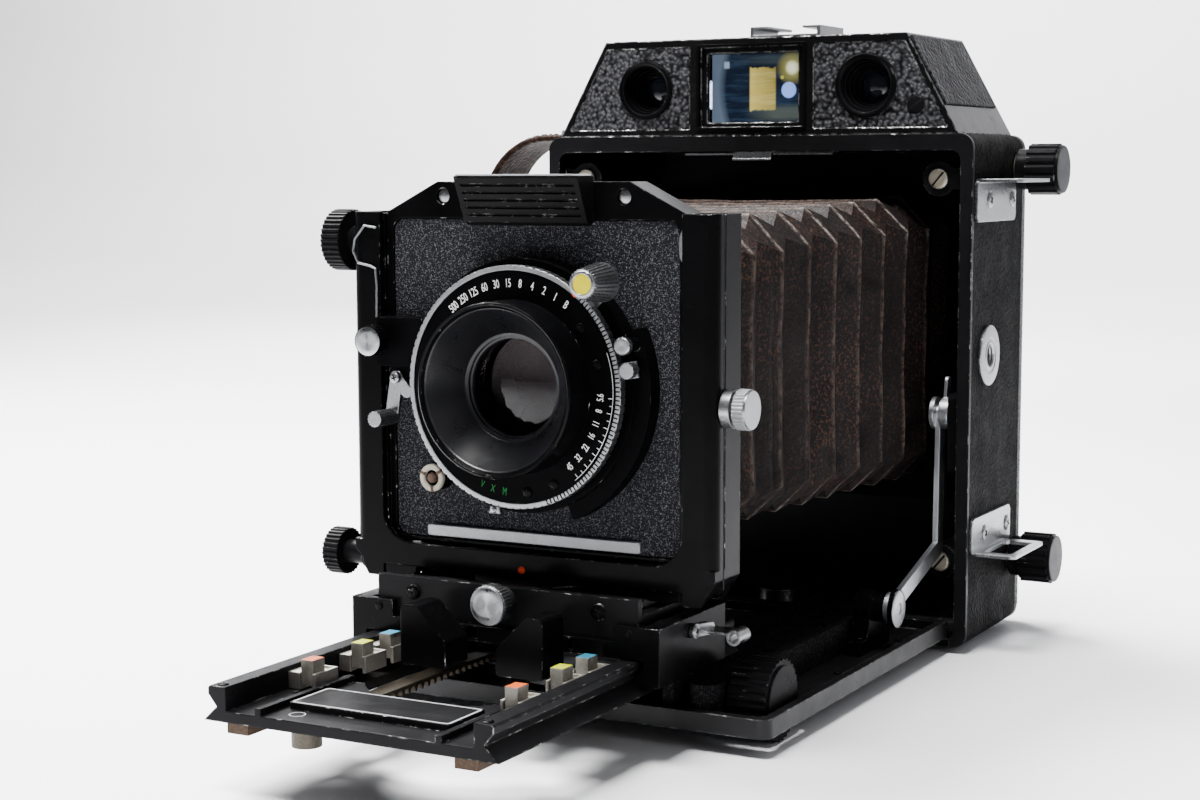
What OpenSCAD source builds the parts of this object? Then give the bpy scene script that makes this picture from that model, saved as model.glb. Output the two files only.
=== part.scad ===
// Folding-bed view camera with coupled rangefinder, for roll film 6 x 9.
// Units are millimetres. +Z is up, the lens looks along -Y, and +X is the right-hand side
// as seen by someone standing in front of the lens.
// The origin is the mouth of the tripod socket under the body.
// Inside placed(), y = 0 is the body's front face and z = 0 is the underside of its leather.

/* [Body] */
// outside width of the body box
body_w = 136.4; // [130:0.2:146]
// height of the body box, without the rangefinder housing
body_h = 146.7; // [140:0.1:155]
// depth of the body box, front to back
body_d = 48.3; // [44:0.1:56]
// height of the rangefinder housing
finder_h = 28.5; // [24:0.5:34]
// width of the rangefinder housing at its top
finder_top_w = 96; // [80:1:110]
// thickness of the leather covering
cover_t = 0.5; // [0.3:0.1:0.8]

/* [Lens standard] */
// side of the square lensboard
board = 80; // [80:0.5:96]
// height of the lens axis over the underside of the body
lens_z = 84.7; // [80:0.1:90]
// front face of the lensboard, measured from the body's front face
board_y = -127.4; // [-150:0.1:-100]
// outside width of the U-shaped front frame
frame_w = 102; // [100:0.5:112]
// outside radius of the speed ring
ring_r = 29.5; // [26:0.5:32]

/* [Bed and track] */
// outside width of the drop bed
bed_w = 125.8; // [120:0.2:128]
// length of the drop bed
bed_l = 126.9; // [120:0.1:132]
// front end of the extended track, measured from the body's front face
track_front = -208.2; // [-215:0.1:-190]
// length of the track
track_l = 118; // [105:1:125]
// radius of the focusing knobs
focus_r = 10.2; // [8:0.1:11]

/* [Gears] */
// module of the focusing rack and pinion
focus_m = 0.9; // [0.8:0.05:1]
// teeth on the focusing pinion
focus_n = 10; // [8:1:12]
// module of the rise rack and pinion
rise_m = 0.8; // [0.6:0.05:0.9]
// teeth on the rise pinion
rise_n = 8; // [8:1:10]

/* [Hidden] */
$fn = 64;

// the tripod socket stands out of the leather by this much, and lies under the body's middle
socket_t = 1.8;
socket_y = 24;
// radial play of a running fit
play = 0.05;
// radius of a quarter-inch camera thread, taken at its middle
thread_r = 3.1;

half_w = body_w / 2;
wall = 3.2;
floor_t = 2;
open_w = 129;
open_top = 142;
finder_half = 63.8;

rod_x = 57;
rod_r = 3;
rod_z = [134, 23];
knob_y = 41;
knob_z = [136.6, 20.8];
rod_front = [4, 10];

hinge_y = 3;
hinge_z = 5.5;
hinge_r = 1.5;
bed_z = 3.1;
bed_floor = 2;
bed_rim = 4.8;

strut_x = 57;
strut_t = 1.5;
strut_low = [-32.5, 17];
strut_knee = [5, 28];
strut_high = [6, 67];

shaft_y = -109;
shaft_z = 8.4;
shaft_r = 2.4;

track_z = 14.8;
track_top = 22.8;
rail_in = 32.4;
rack_x = -19;

carriage_front = -144;
carriage_rear = -108;
rail_top = 33;

swing_y = -122;
tilt_y = -122;
tilt_z = 38.2;

frame_front = -131;
frame_rear = -117;
frame_top = 126.5;
post_in = 42.3;
post_half = frame_w / 2;
rise_y = -122;
rise_z = 119;
shutter_y = -133.2;
release_at = [-36, 85.2];

function rack_pitch(m) = PI * m;

module placed() {
    translate([0, -socket_y, socket_t]) children();
}

// a box given by its limits
module box(x0, x1, y0, y1, z0, z1) {
    translate([x0, y0, z0]) cube([x1 - x0, y1 - y0, z1 - z0]);
}

// cylinders given by their limits along one axis
module cyl_x(r, x0, x1, y, z) {
    translate([x0, y, z]) rotate([0, 90, 0]) cylinder(r = r, h = x1 - x0);
}

module cyl_y(r, y0, y1, x, z) {
    translate([x, y1, z]) rotate([90, 0, 0]) cylinder(r = r, h = y1 - y0);
}

module cyl_z(r, z0, z1, x, y) {
    translate([x, y, z0]) cylinder(r = r, h = z1 - z0);
}

// a flat outline seen from the front, (x, z), given depth from y0 to y1
module front_plate(y0, y1) {
    translate([0, y1, 0]) rotate([90, 0, 0]) linear_extrude(y1 - y0) children();
}

// a flat outline seen from the side, (y, z), given width from x0 to x1
module side_plate(x0, x1) {
    translate([x0, 0, 0]) rotate([90, 0, 90]) linear_extrude(x1 - x0) children();
}

module both_sides() {
    children();
    mirror([1, 0, 0]) children();
}

// a rectangle from (x0, y0) to (x1, y1) with round corners
module round_rect(x0, x1, y0, y1, r) {
    translate([x0 + r, y0]) square([x1 - x0 - 2 * r, y1 - y0]);
    translate([x0, y0 + r]) square([x1 - x0, y1 - y0 - 2 * r]);
    for (x = [x0 + r, x1 - r])
        for (y = [y0 + r, y1 - r])
            translate([x, y]) circle(r = r);
}

// a straight bar with round ends between two points
module link(a, b, w) {
    d = b - a;
    translate(a) circle(d = w);
    translate(b) circle(d = w);
    translate(a) rotate(atan2(d[1], d[0])) translate([0, -w / 2]) square([norm(d), w]);
}

// a knob outline with grooves around its rim
module grooved(r, n, groove) {
    difference() {
        circle(r = r);
        for (i = [0:n - 1])
            rotate((i + 0.5) * 360 / n) translate([r + groove * 0.35, 0]) circle(r = groove, $fn = 24);
    }
}

// a knob along +X from x0, grooved rim with a smooth cap on its outer end
module knob_x(r, x0, x1, y, z, n, groove) {
    side_plate(x0, x1 - 1) translate([y, z]) grooved(r, n, groove);
    cyl_x(r * 0.92, x1 - 1, x1, y, z);
}

// a knob along -Y with its face at y0
module knob_y_axis(r, y0, y1, x, z, n, groove) {
    front_plate(y0 + 0.6, y1) translate([x, z]) grooved(r, n, groove);
    cyl_y(r * 0.94, y0, y0 + 0.6, x, z);
}

// one straight-sided gear tooth, thinned for backlash, on a pitch line at height 0
tooth_share = 0.37;
tooth_add = 0.68;
tooth_ded = 0.9;
tooth_slope = tan(21);

module tooth(m) {
    half = PI * m * tooth_share / 2;
    polygon([
        [-half - tooth_ded * m * tooth_slope, -tooth_ded * m],
        [half + tooth_ded * m * tooth_slope, -tooth_ded * m],
        [half - tooth_add * m * tooth_slope, tooth_add * m],
        [-half + tooth_add * m * tooth_slope, tooth_add * m]]);
}

module pinion_outline(m, n, turn) {
    pitch_r = m * n / 2;
    circle(r = pitch_r - tooth_ded * m + 0.06);
    for (i = [0:n - 1])
        rotate(turn + i * 360 / n) translate([0, pitch_r]) tooth(m);
}

// a rack along x whose teeth point up; a gap lies at every whole pitch from x = 0
module rack_outline(m, first, last, back) {
    pitch = rack_pitch(m);
    translate([first * pitch, -tooth_ded * m - back]) square([(last - first) * pitch, back + 0.15]);
    for (i = [first:last - 1])
        translate([(i + 0.5) * pitch, 0]) tooth(m);
}

/* ---- body ---- */

module body_shell() color("#111112") placed() {
    inner = half_w - cover_t;
    difference() {
        union() {
            front_plate(1.4, body_d - 2.3)
                round_rect(-inner, inner, cover_t, body_h - cover_t, 3.5);
            for (y = [[0, 1.4], [body_d - 2.3, body_d]])
                front_plate(y[0], y[1]) round_rect(-half_w, half_w, 0, body_h, 4);
        }
        front_plate(-1, body_d - 3.3)
            round_rect(-open_w / 2, open_w / 2, floor_t, open_top, 3);
        // light passes from the bellows to the film here
        box(-42, 42, body_d - 4, body_d + 1, lens_z - 29.5, lens_z + 29.5);
        // the front lip stands back from the hinged edge of the bed
        box(-63.2, 63.2, -1, 1.2, -1, floor_t + 1.2);
        for (i = [0, 1])
            both_sides() {
                cyl_y(rod_r + play, body_d - 4, body_d + 1, rod_x, rod_z[i]);
                cyl_x(2.5 + play, 60, 70, knob_y, knob_z[i]);
            }
        cyl_x(6, 60, 70, 15.9, 83.3);
        cyl_z(7, -1, floor_t + 1, 0, socket_y);
    }
    // tubes in the four corners hold the rods of the back
    for (i = [0, 1])
        both_sides() difference() {
            union() {
                cyl_y(5, rod_front[i], body_d - 3.3, rod_x, rod_z[i]);
                box(rod_x, open_w / 2, rod_front[i], body_d - 3.3, rod_z[i] - 3, rod_z[i] + 3);
            }
            cyl_y(rod_r + play, rod_front[i] + 1, body_d, rod_x, rod_z[i]);
            cyl_x(2.5 + play, rod_x, 70, knob_y, knob_z[i]);
        }
    // lugs for the bed hinge
    both_sides() difference() {
        side_plate(60.2, open_w / 2) {
            translate([hinge_y, hinge_z]) circle(r = 2.6);
            translate([hinge_y - 1.6, floor_t]) square([10, 3.5]);
        }
        cyl_x(hinge_r, 59, 63.5, hinge_y, hinge_z);
    }
}

module body_covering() color("#1b1a1a") placed() {
    difference() {
        front_plate(1.4, body_d - 2.3) round_rect(-half_w, half_w, 0, body_h, 4);
        front_plate(1, body_d)
            round_rect(-half_w + cover_t, half_w - cover_t, cover_t, body_h - cover_t, 3.5);
        box(-finder_half, finder_half, 0, body_d, body_h - 3, body_h + 1);
        both_sides() for (z = knob_z)
            cyl_x(2.5 + play, 60, 70, knob_y, z);
        cyl_x(6, 60, 70, 15.9, 83.3);
        cyl_z(7, -1, floor_t, 0, socket_y);
    }
}

function finder_outline(in) = let (top = finder_top_w / 2, h = finder_h)
    [[-finder_half + in, 0], [finder_half - in, 0], [top - in * 0.6, h - in], [-top + in * 0.6, h - in]];

module finder_housing() color("#101011") placed() {
    difference() {
        translate([0, 0, body_h]) front_plate(0, body_d) polygon(finder_outline(0));
        // hollow inside, closed by the top of the body box
        translate([0, 0, body_h - 0.1]) front_plate(3, body_d - 3) polygon(finder_outline(2.6));
        // sunk fields for the leather on the front
        both_sides() front_plate(-1, 0.5) finder_field();
        cyl_y(8.8, -1, 4, -34.5, 160.4);
        cyl_y(9.2, -1, 4, 36, 160.6);
        front_plate(-1, 1.4) round_rect(-16.8, 16.8, 149, 172.8, 0.8);
        front_plate(-1, 4) round_rect(-14.6, 14.6, 150.6, 170.8, 0.6);
        // eyepiece
        cyl_y(7, body_d - 4, body_d + 1, -34.5, 160.4);
    }
}

// outline of one leather field on the front of the finder, seen from the front
module finder_field() {
    polygon([[20, 148.7], [60.4, 148.7], [47.6, 172.7], [20, 172.7]]);
}

module finder_covering() color("#1c1c1c") placed() {
    difference() {
        both_sides() front_plate(0.1, 0.5) finder_field();
        cyl_y(8.8, -1, 4, -34.5, 160.4);
        cyl_y(9.2, -1, 4, 36, 160.6);
    }
    // leather on the sloping ends
    slope = [finder_half - finder_top_w / 2, finder_h];
    along = slope / norm(slope);
    both_sides()
        translate([finder_half, 2, body_h]) rotate([0, -atan2(slope[0], slope[1]), 0])
            translate([0, 0, 9.4]) cube([cover_t, body_d - 4, norm(slope) - 10.4]);
}

module finder_rings() color("#0c0c0d") placed() {
    for (w = [[-34.5, 160.4, 8.8], [36, 160.6, 9.2]])
        difference() {
            union() {
                cyl_y(w[2] - 0.02, 0.5, 12, w[0], w[1]);
                cyl_y(w[2] - 0.02, -0.6, 0.5, w[0], w[1]);
            }
            translate([w[0], 0, w[1]]) rotate([90, 0, 0])
                translate([0, 0, -7]) cylinder(r1 = 4.3, r2 = w[2] - 1.4, h = 7.7);
            cyl_y(4.3, -1, 13, w[0], w[1]);
        }
    // eyepiece ring at the back
    difference() {
        cyl_y(7, body_d - 3, body_d + 2.5, -34.5, 160.4);
        cyl_y(4.6, body_d - 4, body_d + 3, -34.5, 160.4);
    }
}

module finder_glass() color("#8fa2c8") placed() {
    cyl_y(4.3, 8, 10, -34.5, 160.4);
    cyl_y(4.3, 8, 10, 36, 160.6);
    front_plate(3.2, 4.4) round_rect(-15.6, 15.6, 149.6, 171.8, 0.8);
    cyl_y(4.6, body_d, body_d + 1.5, -34.5, 160.4);
}

module bright_trim() color("#c9cbcd") placed() {
    shoe();
    latch_strips();
    rod_screws();
}

module shoe() {
    top = body_h + finder_h;
    box(-1, 21, 2, 20, top, top + 0.7);
    for (x = [[-1, 0], [20, 21]])
        box(x[0], x[1], 2, 20, top + 0.7, top + 2.4);
    box(-1, 4.5, 2, 20, top + 2.4, top + 3.1);
    box(15.5, 21, 2, 20, top + 2.4, top + 3.1);
}

module bellows_rear_frame() color("#141414") placed() {
    front_plate(body_d - 8.3, body_d - 3.3) difference() {
        round_rect(-51.5, 51.5, 36, 130, 2);
        round_rect(-43, 43, lens_z - 30.5, lens_z + 30.5, 1);
    }
}

module latch_strips() {
    for (s = [[-21.4, -4.9, 141], [-5.9, 6.3, 139.4], [7.3, 25.8, 141]])
        box(s[0], s[1], 0.3, 5, s[2], s[2] + 0.6);
    box(-6, 26, 0.8, 5, 141.6, 142);
    box(-5.9, 6.3, 0.8, 5, 140, 141.6);
}

// slotted screws that close the front ends of the rod tubes
module rod_screws() {
    both_sides() for (i = [0, 1])
        difference() {
            cyl_y(2.9, rod_front[i] - 0.9, rod_front[i], rod_x, rod_z[i]);
            translate([rod_x, rod_front[i] - 0.9, rod_z[i]]) rotate([0, 40, 0])
                cube([0.5, 0.8, 8], center = true);
        }
}

strap_y = [13, 35];
strap_t = 2.4;
strap_out = 101;
strap_low = 12;
strap_top = 148;
strap_bend = 24;

module hand_strap() color("#2a211d") placed() {
    // a closed bow of leather beside the body, held at both ends under the lugs
    front_plate(strap_y[0], strap_y[1]) {
        difference() {
            round_rect(-strap_out, 0, strap_low, strap_top, strap_bend);
            round_rect(-strap_out + strap_t, 0, strap_low + strap_t, strap_top - strap_t,
                strap_bend - strap_t);
            translate([-half_w - 1.7, 0]) square([90, 200]);
        }
    }
}

module bracket_plate(z0, z1, flange_z) {
    difference() {
        side_plate(half_w, half_w + 0.9) round_rect(2.2, 37, z0, z1, 2);
        for (y = [13.2, 33.8])
            cyl_x(2.4, half_w + 0.5, half_w + 2, y, (z0 + z1) / 2);
    }
    difference() {
        translate([0, 0, flange_z]) linear_extrude(1) difference() {
            round_rect(half_w, half_w + 13.2, 3, 31, 1.5);
            round_rect(half_w + 3, half_w + 11, 6.5, 27.5, 1);
        }
        box(0, half_w + 0.9, 0, 40, flange_z - 1, flange_z + 2);
    }
    for (y = [13.2, 33.8])
        cyl_x(2.3, half_w + 0.5, half_w + 1.2, y, (z0 + z1) / 2);
}

module side_brackets() color("#cdd0d2") placed() {
    bracket_plate(121.8, 134, 133);
    bracket_plate(26.5, 37.2, 26.5);
    // lugs for the hand strap on the other side
    for (z = [strap_top - 1.2, strap_low + 1.2])
        box(-half_w - 1.65, -half_w, 11, 37, z - 2.4, z + 2.4);
}

module tripod_sockets() color("#d0d2d4") placed() {
    side_socket();
    base_socket();
}

module side_socket() {
    difference() {
        union() {
            cyl_x(8.7, half_w, half_w + 0.7, 15.9, 83.3);
            cyl_x(6, open_w / 2 - 1.4, half_w, 15.9, 83.3);
            cyl_x(9.5, open_w / 2 - 1.4, open_w / 2, 15.9, 83.3);
        }
        cyl_x(thread_r, open_w / 2 - 0.6, half_w + 2, 15.9, 83.3);
    }
}

module base_socket() {
    difference() {
        union() {
            translate([0, socket_y, -socket_t]) linear_extrude(socket_t)
                round_rect(-30, 30, -18, 18, 6);
            cyl_z(7, 0, 8, 0, socket_y);
        }
        cyl_z(thread_r, -socket_t - 1, 7, 0, socket_y);
    }
}

slot_top = 69.5;
slot_low = 53;

module strut_guides() color("#18181a") placed() {
    // plates on the inner walls, slotted so the strut ends slide down as the bed drops
    both_sides() difference() {
        side_plate(61.4, open_w / 2) round_rect(1.6, 14, 50, 73, 2);
        side_plate(61, open_w / 2 - 0.6) link([strut_high[0], slot_low], [strut_high[0], slot_top], 5);
    }
}

module bed_hinge_pin() color("#a8aaac") placed() {
    cyl_x(hinge_r, -63.5, 63.5, hinge_y, hinge_z);
}

/* ---- back ---- */

module back_frame() color("#161617") placed() {
    difference() {
        union() {
            front_plate(body_d + 0.3, body_d + 5.5) round_rect(-66.5, 66.5, 2.5, 143.5, 4);
            front_plate(body_d + 5.5, body_d + 9) round_rect(-58, 58, 33, 131, 2);
            // sliding bars that hold a film holder
            for (z = [[23, 32.7], [131.3, 139]])
                box(-60, 60, body_d + 5.5, body_d + 10.5, z[0], z[1]);
        }
        front_plate(body_d, body_d + 10) round_rect(-43, 43, lens_z - 30, lens_z + 30, 1);
        front_plate(body_d + 5, body_d + 10) round_rect(-50, 50, lens_z - 38, lens_z + 38, 1);
        for (z = rod_z)
            both_sides() cyl_y(rod_r, body_d - 1, body_d + 4, rod_x, z);
    }
}

module back_rods() color("#b7b9bb") placed() {
    for (i = [0, 1])
        both_sides() cyl_y(rod_r, rod_front[i] + 16, body_d + 4, rod_x, rod_z[i]);
}

module ground_glass() color("#c8d0cc") placed() {
    front_plate(body_d + 5, body_d + 7) round_rect(-49.8, 49.8, lens_z - 37.8, lens_z + 37.8, 0.8);
}

module back_knob(z) {
    cyl_x(2.5, 60.2, half_w + 0.2, knob_y, z);
    cyl_x(4.2, half_w + 0.2, half_w + 0.9, knob_y, z);
    cyl_x(6, half_w + 0.9, half_w + 4.3, knob_y, z);
    knob_x(7.5, half_w + 4.3, half_w + 14, knob_y, z, 16, 0.9);
}

module back_knob_1() color("#151516") placed() back_knob(knob_z[0]);
module back_knob_2() color("#151516") placed() back_knob(knob_z[1]);
module back_knob_3() color("#151516") placed() mirror([1, 0, 0]) back_knob(knob_z[0]);
module back_knob_4() color("#151516") placed() mirror([1, 0, 0]) back_knob(knob_z[1]);

/* ---- bed ---- */

module bed_plate() color("#151516") placed() {
    half = bed_w / 2;
    difference() {
        union() {
            translate([0, 0, bed_z]) linear_extrude(bed_rim) difference() {
                round_rect(-half, half, -bed_l, 8, 3);
                translate([-half - 1, -0.4]) square([bed_w + 2, 10]);
            }
            // rear edge between the body's hinge lugs, ending in the hinge barrel
            box(-60, 60, -1, hinge_y, bed_z, bed_z + 2);
            cyl_x(2.4, -60, 60, hinge_y, hinge_z);
        }
        // the tray inside the rim
        translate([0, 0, bed_z + bed_floor]) linear_extrude(bed_rim)
            round_rect(-half + 2.4, half - 2.4, -bed_l + 2.6, -3, 1.6);
        // slots for the focusing knobs and for the pinion
        both_sides() box(47.9, 59.9, shaft_y - 11.2, shaft_y + 11.2, 0, 20);
        box(rack_x - 4.5, rack_x + 4.5, shaft_y - 6, shaft_y + 6, 0, 20);
        cyl_x(hinge_r + play, -70, 70, hinge_y, hinge_z);
    }
}

guide_in = 39.2;
guide_out = 47.4;

module bed_guides() color("#202021") placed() {
    // ribbed bars at both sides of the track, round at the front
    difference() {
        both_sides() {
            translate([0, 0, bed_z + bed_floor]) linear_extrude(8.4) {
                translate([(guide_in + guide_out) / 2, -bed_l + 8]) circle(d = guide_out - guide_in);
                translate([guide_in, -bed_l + 8]) square([guide_out - guide_in, bed_l - 12]);
            }
            // inner channels for the runners of the track
            box(23.6, 26.6, -bed_l + 4, -10, bed_z + bed_floor, 13.6);
            box(33.2, 36.2, -bed_l + 4, -10, bed_z + bed_floor, 13.6);
        }
        cyl_x(shaft_r + play, -50, 50, shaft_y, shaft_z);
        for (y = [-82, -48])
            both_sides() cyl_z(1.9, 12.9, 14, 43.2, y);
    }
    both_sides() for (y = [-82, -48])
        cyl_z(1.8, 12.9, 13.6, 43.2, y);
}

post_x = [48.6, 53.4];

module strut_posts() color("#1a1a1c") placed() {
    foot = bed_z + bed_floor;
    both_sides() side_plate(post_x[0], post_x[1]) {
        translate(strut_low) circle(r = 4.8);
        polygon([[-44, foot], [-22, foot], [-22, foot + 4], [-27, foot + 4], [-28.6, 16], [-36.4, 16],
            [-39, foot + 4], [-44, foot + 4]]);
    }
    both_sides() {
        cyl_x(4, post_x[1], strut_x - 0.1, strut_low[0], strut_low[1]);
        cyl_x(2.2, strut_x - 0.1, strut_x + strut_t + 0.1, strut_low[0], strut_low[1]);
        cyl_x(5.3, strut_x + strut_t + 0.1, strut_x + strut_t + 1.5, strut_low[0], strut_low[1]);
    }
}

module focus_shaft() color("#8d8f92") placed() {
    cyl_x(shaft_r, -50, 50, shaft_y, shaft_z);
    // a tooth points straight up, into a gap of the rack
    side_plate(rack_x - 3, rack_x + 3) translate([shaft_y, shaft_z])
        pinion_outline(focus_m, focus_n, 0);
}

module focus_knobs() color("#131314") placed() {
    both_sides() difference() {
        union() {
            side_plate(48.6, 58.6) translate([shaft_y, shaft_z]) grooved(focus_r, 30, 0.75);
            cyl_x(8.6, 58.6, 59.2, shaft_y, shaft_z);
        }
        cyl_x(shaft_r, 40, 50, shaft_y, shaft_z);
    }
}

/* ---- struts ---- */

module strut() {
    x1 = strut_x + strut_t;
    difference() {
        side_plate(strut_x, x1) {
            link(strut_low, strut_knee, 4.6);
            link(strut_knee, strut_high, 4.6);
            translate(strut_low) circle(r = 4.4);
        }
        cyl_x(2.2 + play, strut_x - 1, x1 + 1, strut_low[0], strut_low[1]);
    }
    // hub with a thumb lever, and the pin that runs in the slotted guide
    cyl_x(4.6, strut_x - 1.3, strut_x, strut_high[0], strut_high[1]);
    cyl_x(4.6, x1, 61.2, strut_high[0], strut_high[1]);
    cyl_x(1.9, 61.2, 63.6, strut_high[0], strut_high[1]);
    side_plate(x1 + 0.3, x1 + 1.3) link(strut_high, strut_high + [1.5, 9], 3);
}

module strut_right() color("#c6c8ca") placed() strut();
module strut_left() color("#c6c8ca") placed() mirror([1, 0, 0]) strut();

/* ---- track ---- */

module rail_profile() {
    polygon([[rail_in, track_z], [38.5, track_z], [34.9, 18.2], [37.2, 20.9], [37.2, track_top - 0.5],
        [36.8, track_top], [rail_in, track_top]]);
}

module track_frame() color("#131314") placed() {
    rear = track_front + track_l;
    both_sides() front_plate(track_front, rear) rail_profile();
    difference() {
        union() {
            box(-rail_in, rail_in, track_front, track_front + 36, track_z, track_z + 2.6);
            box(-rail_in, rail_in, rear - 26, rear, track_z, track_z + 2.6);
        }
        // the opening between the rails has a round front end
        cyl_z(24, track_z - 1, track_z + 4, 0, track_front + 49.5);
        // room below the foremost stop flaps
        both_sides() box(25.3, 29.5, stop_y[0] - 7, stop_y[0] + 4, track_z - 1, track_z + 4);
    }
    // raised edges beside the name field, and the blank field itself
    both_sides() box(22.8, 24.4, track_front, track_front + 36, track_z + 2.6, track_z + 4.2);
    translate([0, 0, track_z + 2.6]) linear_extrude(1.6)
        round_rect(-21.2, 21.2, track_front + 8.2, track_front + 23.2, 0.8);
    // studs that carry the rack
    for (y = [track_front + 22, rear - 8])
        box(rack_x - 2.5, rack_x + 2.5, y, y + 4, track_z - 0.3, track_z);
}

module focus_rack() color("#77797c") placed() {
    // teeth point down at the pinion; at rest a gap stands over its upright tooth
    top_z = track_z - 0.3;
    pitch_z = shaft_z + focus_m * focus_n / 2;
    side_plate(rack_x - 2.5, rack_x + 2.5)
        translate([shaft_y, pitch_z]) mirror([0, 1])
            rack_outline(focus_m, -28, 5, top_z - pitch_z - tooth_ded * focus_m);
}

module track_pads() color("#4a3226") placed() {
    both_sides() box(27, 32.8, track_front + 1, track_front + track_l - 2, track_z - 2.6, track_z);
    // milled head of the track's end screw
    cyl_z(3.4, track_z - 4, track_z, -14, track_front + 5);
}

stop_y = [-181, -161, -149.2];
stop_pin_y = 2.5;
stop_pin_z = 20;

module stop_block(y) {
    difference() {
        box(24.8, rail_in, y - 4, y + 5, 17.6, 21.6);
        box(25.6, 29.2, y - 5, y + 4.4, 17, 23);
    }
    cyl_x(0.75, 25.4, 29.4, y + stop_pin_y, stop_pin_z);
}

module stop_blocks() color("#a7a198") placed() {
    both_sides() for (y = stop_y)
        stop_block(y);
}

// a flap that stops the carriage at infinity; it tips down so the carriage can pass over
module stop_flap(y) {
    difference() {
        side_plate(25.75, 29.05) translate([y, 0]) {
            translate([stop_pin_y, stop_pin_z]) circle(r = 1.45);
            translate([-3.6, 18.6]) square([6.1, 2.85]);
            translate([-3.6, 21]) square([4.6, 3.6]);
        }
        cyl_x(0.8, 24, 31, y + stop_pin_y, stop_pin_z);
    }
}

module stop_orange_right() color("#e08a2c") placed() stop_flap(stop_y[0]);
module stop_yellow_right() color("#c8cf3a") placed() stop_flap(stop_y[1]);
module stop_blue_right() color("#4aa5b4") placed() stop_flap(stop_y[2]);
module stop_orange_left() color("#e08a2c") placed() mirror([1, 0, 0]) stop_flap(stop_y[0]);
module stop_yellow_left() color("#c8cf3a") placed() mirror([1, 0, 0]) stop_flap(stop_y[1]);
module stop_blue_left() color("#4aa5b4") placed() mirror([1, 0, 0]) stop_flap(stop_y[2]);

/* ---- carriage ---- */

plate_z = [23.1, 27];
cheek_in = 38.9;
cheek_out = 43;
catch_y = -127;
catch_z = 27.6;

module carriage() color("#161617") placed() {
    difference() {
        box(-cheek_out, cheek_out, carriage_front, carriage_rear, plate_z[0], plate_z[1]);
        // slots that guide the arms of the squeeze grips
        both_sides() box(6.5, 20, carriage_front - 1, carriage_front + 8, 23.95, 26.65);
    }
    both_sides() {
        // cheeks outside the rails, each with a ridge in the rail's groove
        front_plate(carriage_front, carriage_rear)
            polygon([[cheek_in, 17], [cheek_out, 17], [cheek_out, 31], [cheek_out - 4.5, 31],
                [cheek_out - 4.5, 24], [cheek_in, 24], [cheek_in, 21.4], [36.2, 18.6], [cheek_in, 17.2]]);
        box(31, cheek_out - 4.5, carriage_front, carriage_front + 2, plate_z[1], 31);
    }
    // pivot of the catch on the right cheek
    cyl_x(0.9, cheek_out - 1, cheek_out + 1.5, catch_y, catch_z);
}

module cross_rail() color("#19191b") placed() {
    box(-36.5, 36.5, carriage_front + 4, carriage_rear - 5, plate_z[1], rail_top);
    // front wall with its screws; the cross slide runs behind it
    difference() {
        box(-36.5, 36.5, carriage_front + 2, carriage_front + 4, plate_z[1], rail_top + 3.9);
        cyl_y(2.2 + play, carriage_front, carriage_front + 3.6, 0, 33.6);
    }
    for (x = [-26, 26])
        cyl_y(1.9, carriage_front + 1.5, carriage_front + 2, x, 33.2);
    // low rear lip, so the cross slide is held between two walls
    box(-36.5, 36.5, -113.8, carriage_rear - 5, rail_top, rail_top + 1.9);
}

module grip() {
    front_plate(-157.5, -147.5) hull() {
        translate([8, 20]) circle(r = 1);
        translate([18.6, 20]) circle(r = 1);
        translate([18, 32]) circle(r = 1.6);
        translate([15.6, 32]) circle(r = 1.6);
        translate([8.2, 25]) circle(r = 1.2);
    }
    box(9, 19, -147.5, -137, 24, 26.6);
}

module grip_right() color("#0e0e0f") placed() grip();
module grip_left() color("#0e0e0f") placed() mirror([1, 0, 0]) grip();

module carriage_catch() color("#c9cbcd") placed() {
    // lever on the right cheek: boss, blade and rolled end
    difference() {
        union() {
            cyl_x(1.8, cheek_out + 0.1, cheek_out + 1.4, catch_y, catch_z);
            side_plate(cheek_out + 0.2, cheek_out + 1.2)
                link([catch_y, catch_z], [catch_y + 9, catch_z - 1], 3);
        }
        cyl_x(0.9 + play, cheek_out, cheek_out + 2, catch_y, catch_z);
    }
    box(cheek_out + 0.2, cheek_out + 7.6, catch_y + 5, catch_y + 11, catch_z - 1.6, catch_z - 0.8);
    difference() {
        cyl_y(1.9, catch_y + 5, catch_y + 11, cheek_out + 8.6, catch_z - 2);
        cyl_y(1.2, catch_y + 4, catch_y + 12, cheek_out + 8.6, catch_z - 2);
    }
}

/* ---- movements ---- */

module shift_plate() color("#161617") placed() {
    difference() {
        box(-33.5, 33.5, carriage_front + 4.2, -114, rail_top + 0.2, rail_top + 2);
        cyl_z(4 + play, rail_top - 1, rail_top + 3, 0, swing_y);
    }
}

module shift_knob() color("#d0d2d4") placed() {
    cyl_y(3.4, -146.2, carriage_front + 1.9, 0, 33.6);
    cyl_y(2.2, carriage_front + 1.8, carriage_front + 3.5, 0, 33.6);
    knob_y_axis(4.9, -150, -146.2, 0, 33.6, 36, 0.35);
}

module swing_yoke() color("#141415") placed() {
    difference() {
        union() {
            cyl_z(17.6, rail_top + 2.1, rail_top + 3.7, 0, swing_y);
            box(-41.6, 41.6, -127.2, -116.8, rail_top + 2.1, rail_top + 3.7);
            // stiffening rib along the rear edge
            box(-36, 36, -118.8, -116.8, rail_top + 3.7, rail_top + 6.4);
            cyl_z(4, rail_top + 0.3, rail_top + 2.1, 0, swing_y);
            both_sides() side_plate(36, 41.6) {
                translate([tilt_y, tilt_z + 0.3]) circle(r = 4.2);
                translate([tilt_y - 4.2, rail_top + 3]) square([8.4, 2.5]);
            }
        }
        cyl_x(2.5 + play, -50, 50, tilt_y, tilt_z);
    }
}

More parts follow.
